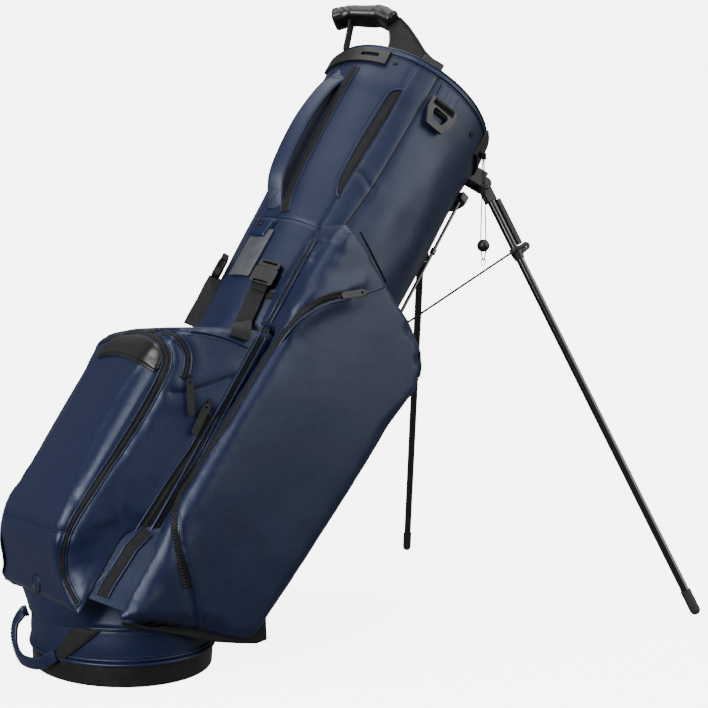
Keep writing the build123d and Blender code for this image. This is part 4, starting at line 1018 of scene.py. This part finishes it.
# carry loop at the base: leather strap ending in webbing sewn to the collar
lp = catmull([(-.1030, -.0385, .0300), (-.1075, -.029, .0235), (-.1105, -.016, .0175), (-.1135, .008, .0125), (-.1145, .036, .0125), (-.1130, .058, .0240), (-.1100, .067, .044), (-.1015, .067, .058), (-.0945, .0650, .0610)], 14)
lfr = frames(lp, None)
lup = [Vector((1, 0.6, 0.3)) for _ in lp]
loop = sweep("base_loop_leather", lp, rrect(0.0150, 0.0042, 0.0019), NAVY, "base", [(Vector((0, 0, 0.016)) - (p - Vector((0, 0.012, 0.02)))).normalized() * -1 if False else Vector((-0.95, -0.1, -0.25)) for p in lp])
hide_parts("base_loop")
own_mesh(loop)
for sd in (-1, 1):
    lf = frames(lp, [Vector((-0.95, -0.1, -0.25))] * len(lp))
    ls_ = stitches("base_loop_stitch_%d" % (sd + 2), ([p + f[2] * (sd * .0054) for p, f in zip(lp, lf)], [f[1] for f in lf]), body="base", off=0.0026)
    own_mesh(ls_)

# ------------------------------------------------------------ low leather sides, webbing, tabs
def strip_between(name, top, bot, thick, rows, mat, body="bag", bulge=0.0):
    """A closed leather strip between two 3-D lines of the same number of points."""
    k = len(top)
    G = []
    for i in range(k):
        G.append([top[i].lerp(bot[i], j / rows) for j in range(rows + 1)])
    Nn = [[None] * (rows + 1) for _ in range(k)]
    for i in range(k):
        for j in range(rows + 1):
            a_, b_ = G[min(i + 1, k - 1)][j] - G[max(i - 1, 0)][j], G[i][min(j + 1, rows)] - G[i][max(j - 1, 0)]
            n = a_.cross(b_)
            n = n.normalized() if n.length > 1e-9 else Vector((0, -1, 0))
            Nn[i][j] = n
    if Nn[k // 2][rows // 2].y * (1 if G[k // 2][0].y > 0 else -1) < 0:
        Nn = [[-n for n in r] for r in Nn]
    V = []
    for sgn_ in (1, -1):
        for i in range(k):
            for j in range(rows + 1):
                h = bulge * math.sin(math.pi * j / rows)
                V.append(G[i][j] + Nn[i][j] * (sgn_ * thick / 2 + h))
    m, o2 = rows + 1, k * (rows + 1)
    F = []
    for i in range(k - 1):
        for j in range(rows):
            a_, b_, c_, d_ = i * m + j, (i + 1) * m + j, (i + 1) * m + j + 1, i * m + j + 1
            F.append((a_, b_, c_, d_)); F.append((o2 + a_, o2 + d_, o2 + c_, o2 + b_))
        for j in (0, rows):
            a_, b_ = i * m + j, (i + 1) * m + j
            F.append((a_, o2 + a_, o2 + b_, b_) if j == 0 else (a_, b_, o2 + b_, o2 + a_))
    for j in range(rows):
        for i in (0, k - 1):
            a_, b_ = i * m + j, i * m + j + 1
            F.append((a_, b_, o2 + b_, o2 + a_) if i == 0 else (a_, o2 + a_, o2 + b_, b_))
    o = mesh(name, V, F, mat, body)
    bm = bmesh.new(); bm.from_mesh(o.data); bmesh.ops.recalc_face_normals(bm, faces=bm.faces); bm.to_mesh(o.data); bm.free()
    return o


SK = [(.045, .1060, .129), (.025, .1115, .129), (.0, .1138, .129), (-.025, .1150, .129), (-.050, .1165, .129), (-.075, .1178, .129), (-.095, .1188, .129), (-.112, .1192, .126),
      (-.123, .1172, .090), (-.130, .1115, .060), (-.1335, .1000, .046), (-.1350, .080, .043), (-.1355, .040, .042), (-.1355, 0, .042)]
SK = [(v, -y, u) for v, y, u in SK] + [(v, y, u) for v, y, u in SK[::-1][1:]]
q = catmull(SK, 6)
top, bot = [], []
for p in q:
    t = W(p.x, p.y * .972, p.z)
    g = W(p.x, p.y, .1)
    b = W(p.x, p.y, (.0675 + p.x * S) / C)
    e = math.hypot(b.x / EA, b.y / EB)
    if e > 1.02:
        b.x *= 1.02 / e; b.y *= 1.02 / e
    b.z = .0675
    top.append(t); bot.append(b)
sk = strip_between("low_leather", top, bot, 0.0026, 16, NAVY, "bag", 0.0010)
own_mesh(sk)
pe = sweep("low_leather_edge", resample(bot, 0.003), circ(0.0015, 8), NAVY2, "bag")
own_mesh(pe)
shelf = strip_between("low_leather_top", [p.copy() for p in top], [W(p.x * .93, p.y * .78, .158) for p in q], 0.0024, 8, NAVY, "bag", 0.003)


def even(P, n):
    return [P[int(round(i / (n - 1) * (len(P) - 1)))] for i in range(n)]


hl = lay(T_BALL, [(143, 514), (133, 526), (122, 533), (114, 544), (108, 556), (102.5, 565), (97, 576), (91, 588), (84, 602)], 2)
hr = lay(T_SIDE, [(169, 510), (163, 530), (158, 548), (152, 562), (146, 575), (139, 588), (131, 603), (123, 616)], 2)
gl = smooth_list(even([p - n * .0045 for p, n in zip(*hl)], 40), 3)
gr = smooth_list(even([p - n * .0100 for p, n in zip(*hr)], 40), 3)
gus = strip_between("low_zip_gusset", gl, gr, 0.0024, 14, NAVY, "bag", 0.0)
T_LOW = bvh(sk, shelf, gus, ballp)
pn = lay(T_LOW, Z2((536, 756), (500, 792), (470, 824), (455, 850), (420, 905), (385, 960), (366, 1000)), 2)
lowt = ribbon("zip_low_end", pn, 0.0115, 0.0018, TAPE, off=0.0008)
for sd in (-1, 1):
    fz = frames(pn[0], pn[1])
    e1 = piping("zip_low_end_piping_%d" % (sd + 2), ([p + f[2] * (sd * 0.0068) for p, f in zip(pn[0], fz)], pn[1]), 0.0014, off=0.0008)

# black underside of the large pocket
def on_y(x, y, Y):
    d = ray(x, y)
    return CAM + d * ((Y - CAM.y) / d.y)


tv = resample([Vector((x, y, 0)) for x, y in Z3((-25, 1181), (0, 1187), (120, 1213), (250, 1241), (330, 1246), (380, 1246), (410, 1234))], 2)
bv = resample([Vector((x, y, 0)) for x, y in Z3((-25, 1183), (0, 1193), (60, 1219), (120, 1242), (180, 1260), (240, 1273), (300, 1270), (360, 1257), (408, 1237))], 2)
kk = min(len(tv), len(bv))
ts_, bs_ = [], []
for i in range(kk):
    a = tv[int(i / (kk - 1) * (len(tv) - 1))]; b = bv[int(i / (kk - 1) * (len(bv) - 1))]
    ts_.append(on_y(a.x, a.y, -.1440)); p = on_y(b.x, b.y, -.1350)
    ts_[-1].z = ts_[-1].z + .002
    p.z = max(p.z, .0690)
    bs_.append(p)
strip_between("side_underside", ts_, bs_, 0.0016, 6, LINING, "bag", -0.0008)

# webbing below the buckles, 24 mm wide, sewn to the ball pocket
T_TB = bvh(tube, ballp)
wn = lay(T_TB, [(267, 277), (262, 287), (256, 298), (251, 310), (245, 322), (240, 334), (238, 341)], 2)
wb_ = ribbon("buckle_web_near", wn, 0.0235, 0.0019, WEB, off=0.0040)
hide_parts("buckle_webbing")
ribbon("buckle_web_near_fold", ([p + (wn[1][0]) * 0.0022 for p in wn[0][:12]], wn[1][:12]), 0.0235, 0.0019, WEB, off=0.0040)
LBN = (VD * -0.86 + YD * 0.5).normalized()
lb = W(-.1145, .040, .511) + LBN * .0036
wf = catmull([lb - UD * .018, lb - UD * .035, W(-.1165, .0415, .455), W(-.1150, .045, .435), W(-.1135, .047, .418)], 10)
ribbon("buckle_web_far", (wf, [(LBN * 0.75 - YD * 0.9).normalized()] * len(wf)), 0.0200, 0.0019, WEB, off=0.0)

# towel-ring tab: doubled leather with stitched sides and a woven band at the fold
tp_ = tsl((260, .8215), (260, .835), (260, .850), (260, .868))
tn = lay_ts(T_TUBE, tp_, 1, 0.003)
tabo = ribbon("towel_tab_leather", tn, 0.0330, 0.0034, NAVY, off=0.0022)
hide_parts("towel_tab")
tf = frames(tn[0], tn[1])
for sd in (-.0135, -.0045, .0045, .0135):
    stitches("towel_tab_stitch_%d" % int(sd * 1e4 + 200), ([p + f[2] * sd for p, f in zip(tn[0], tf)], tn[1]), off=0.0041)
bar = N["towel_ring"]
T_RB = None
hp = Vector((0.4243, -0.126296, 0.716514)); hx = Vector((0.829922, -0.165386, -0.532801))
nn_ = tn[1][0]
wrapP = []
for a_ in np.linspace(-20, 250, 22):
    t_ = math.radians(a_)
    wrapP.append(hp + (nn_ * math.cos(t_) + UD * math.sin(t_)) * 0.0036)
sweep("towel_tab_fold", wrapP, [(-.0164, -.0009), (.0164, -.0009), (.0164, .0009), (-.0164, .0009)], WEB, "bag", [(p - hp).normalized() for p in wrapP])
ribbon("towel_tab_band", ([p for p in tn[0][:6]], tn[1][:6]), 0.0334, 0.0012, WEB, off=0.0044)

# webbing on the base, over the collar, where the carry loop is sewn on
T_BASE = bvh(collar, N["base_cup"])
bw = patch("base_web_strip", T_BASE, ([(76, 622), (84, 625.5), (93, 628.5), (101, 631.5)], [(53.5, 656), (56, 658), (60, 660.5), (63, 662)]), WEB, 0.0030, 12, 24, "base")
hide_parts("base_webbing")
for nm, l_ in (("a", [(77.5, 624), (66, 639), (55.5, 656)]), ("b", [(99, 632), (80, 647), (61.5, 660.5)])):
    stitches("base_web_stitch_" + nm, lay(T_BASE, l_, 1), mat=THREADK, body="base", off=0.0032)

# far side of the ball pocket, mirrored, and its edge along the tube
def mirror(tree, pn, step=0.003):
    P2, N2 = [], []
    for p in resample(pn[0], step):
        h, n, _, _ = tree.find_nearest(Vector((p.x, -p.y, p.z)))
        P2.append(h); N2.append(n)
    return smooth_list(P2, 2), [n.normalized() for n in smooth_list(N2, 4)]


zf = mirror(T_BALL, lay(T_BALL, Z2((440, 56), (500, 48), (555, 62), (592, 100), (602, 150), (572, 230), (480, 390), (350, 590), (268, 720), (236, 800), (226, 870), (242, 950), (296, 1046), (325, 1080)), 3))
ribbon("zip_front_far_tape", zf, 0.0105, 0.0016, TAPE, off=0.0006)
ribbon("zip_front_far_garage", zf, 0.0034, 0.0022, TAPE, off=0.0012)
ffz = frames(zf[0], zf[1])
for sd in (-1, 1):
    piping("zip_front_far_piping_%d" % (sd + 2), ([p + f[2] * (sd * .0058) for p, f in zip(zf[0], ffz)], zf[1]), 0.0012, off=0.0006)
piping("ball_top_edge", lay(T_TB, Z2((575, 38), (640, 36), (700, 43), (760, 52), (820, 68), (868, 88), (894, 102)), 1), 0.0016, off=0.0006)
stitches("ball_top_stitch", lay(T_TB, Z2((600, 50), (700, 56), (800, 76), (870, 100)), 1))

# far pocket: piping round its face and a zip
FO = [(-24, 500), (40, 488), (78, 464), (96, 430), (94, 400), (84, 290), (70, 180), (62, 120), (50, 100), (0, 84), (-28, 84)]
fe = lay_ts(T_FAR, [W(v / 1000, .137, u / 1000) for v, u in FO], 1, 0.004)
piping("far_outer_piping", fe, 0.0018, off=0.0006)
fzp = lay_ts(T_FAR, [W(v / 1000, .140, u / 1000) for v, u in ((-10, 470), (-16, 380), (-18, 280), (-16, 180), (-6, 120))], 1, 0.004)
ribbon("far_zip_tape", fzp, 0.0095, 0.0014, TAPE, off=0.0006)
teeth("far_zip_teeth", fzp, 0.0045, 0.0019, off=0.0013)
fp2 = frames(fzp[0], fzp[1])
for sd in (-1, 1):
    piping("far_zip_piping_%d" % (sd + 2), ([p + f[2] * (sd * .0056) for p, f in zip(fzp[0], fp2)], fzp[1]), 0.0013, off=0.0006)

# ------------------------------------------------------------ stage
def stage_obj(name, verts, faces, mat):
    m = bpy.data.meshes.new(name); m.from_pydata(verts, [], faces); m.update()
    m.polygons.foreach_set("use_smooth", [True] * len(m.polygons))
    m.materials.append(mat)
    o = coll(bpy.data.objects.new(name, m))
    return o


fm, ft, fp = nodes_of("studio_paper")
tc = bump(ft, fp, [("noise", 900, 0.02, 0.0001)])
fp.inputs["Base Color"].default_value = (0.93, 0.93, 0.935, 1)
fp.inputs["Roughness"].default_value = 0.85
fp.inputs["Emission Color"].default_value = (1, 1, 1, 1)
fp.inputs["Emission Strength"].default_value = 5.5
# paper sweep: floor, then up behind
dirn = Vector((FWD.x, FWD.y, 0)).normalized()
side_ = Vector((-dirn.y, dirn.x, 0))
prof = [(-4.0, -0.0004)] + [(1.6, -0.0004)] + [(1.6 + 1.5 * math.sin(a), 1.5 - 1.5 * math.cos(a)) for a in np.linspace(0.05, math.pi / 2, 18)] + [(3.1, 5.0)]
VV, FF = [], []
for d, z in prof:
    for s in (-7, 7):
        VV.append(tuple(dirn * d + side_ * s + Vector((0, 0, z))))
for i in range(len(prof) - 1):
    FF.append((i * 2, i * 2 + 1, i * 2 + 3, i * 2 + 2))
floor = stage_obj("paper_sweep", VV, FF, fm)
floor.visible_glossy = False
floor.visible_diffuse = False

world = bpy.data.worlds.new("studio"); bpy.context.scene.world = world
world.use_nodes = True
world.node_tree.nodes["Background"].inputs["Color"].default_value = (1, 1, 1, 1)
world.node_tree.nodes["Background"].inputs["Strength"].default_value = 0.17


def area(name, loc, target, size, power, sy=None):
    l = bpy.data.lights.new(name, "AREA")
    l.energy = power; l.size = size
    if sy:
        l.shape = "RECTANGLE"; l.size_y = sy
    o = coll(bpy.data.objects.new(name, l))
    o.location = loc
    o.rotation_mode = "QUATERNION"
    o.rotation_quaternion = (Vector(target) - Vector(loc)).to_track_quat("-Z", "Y")
    return o


area("soft_top", (0.3, -0.1, 2.7), (0.25, 0, 0.3), 2.2, 50)
area("soft_left", (-2.4, -0.6, 1.3), (0.1, 0, 0.4), 1.8, 132)
area("soft_right", (1.7, -2.2, 1.5), (0.30, 0, 0.45), 2.6, 72)
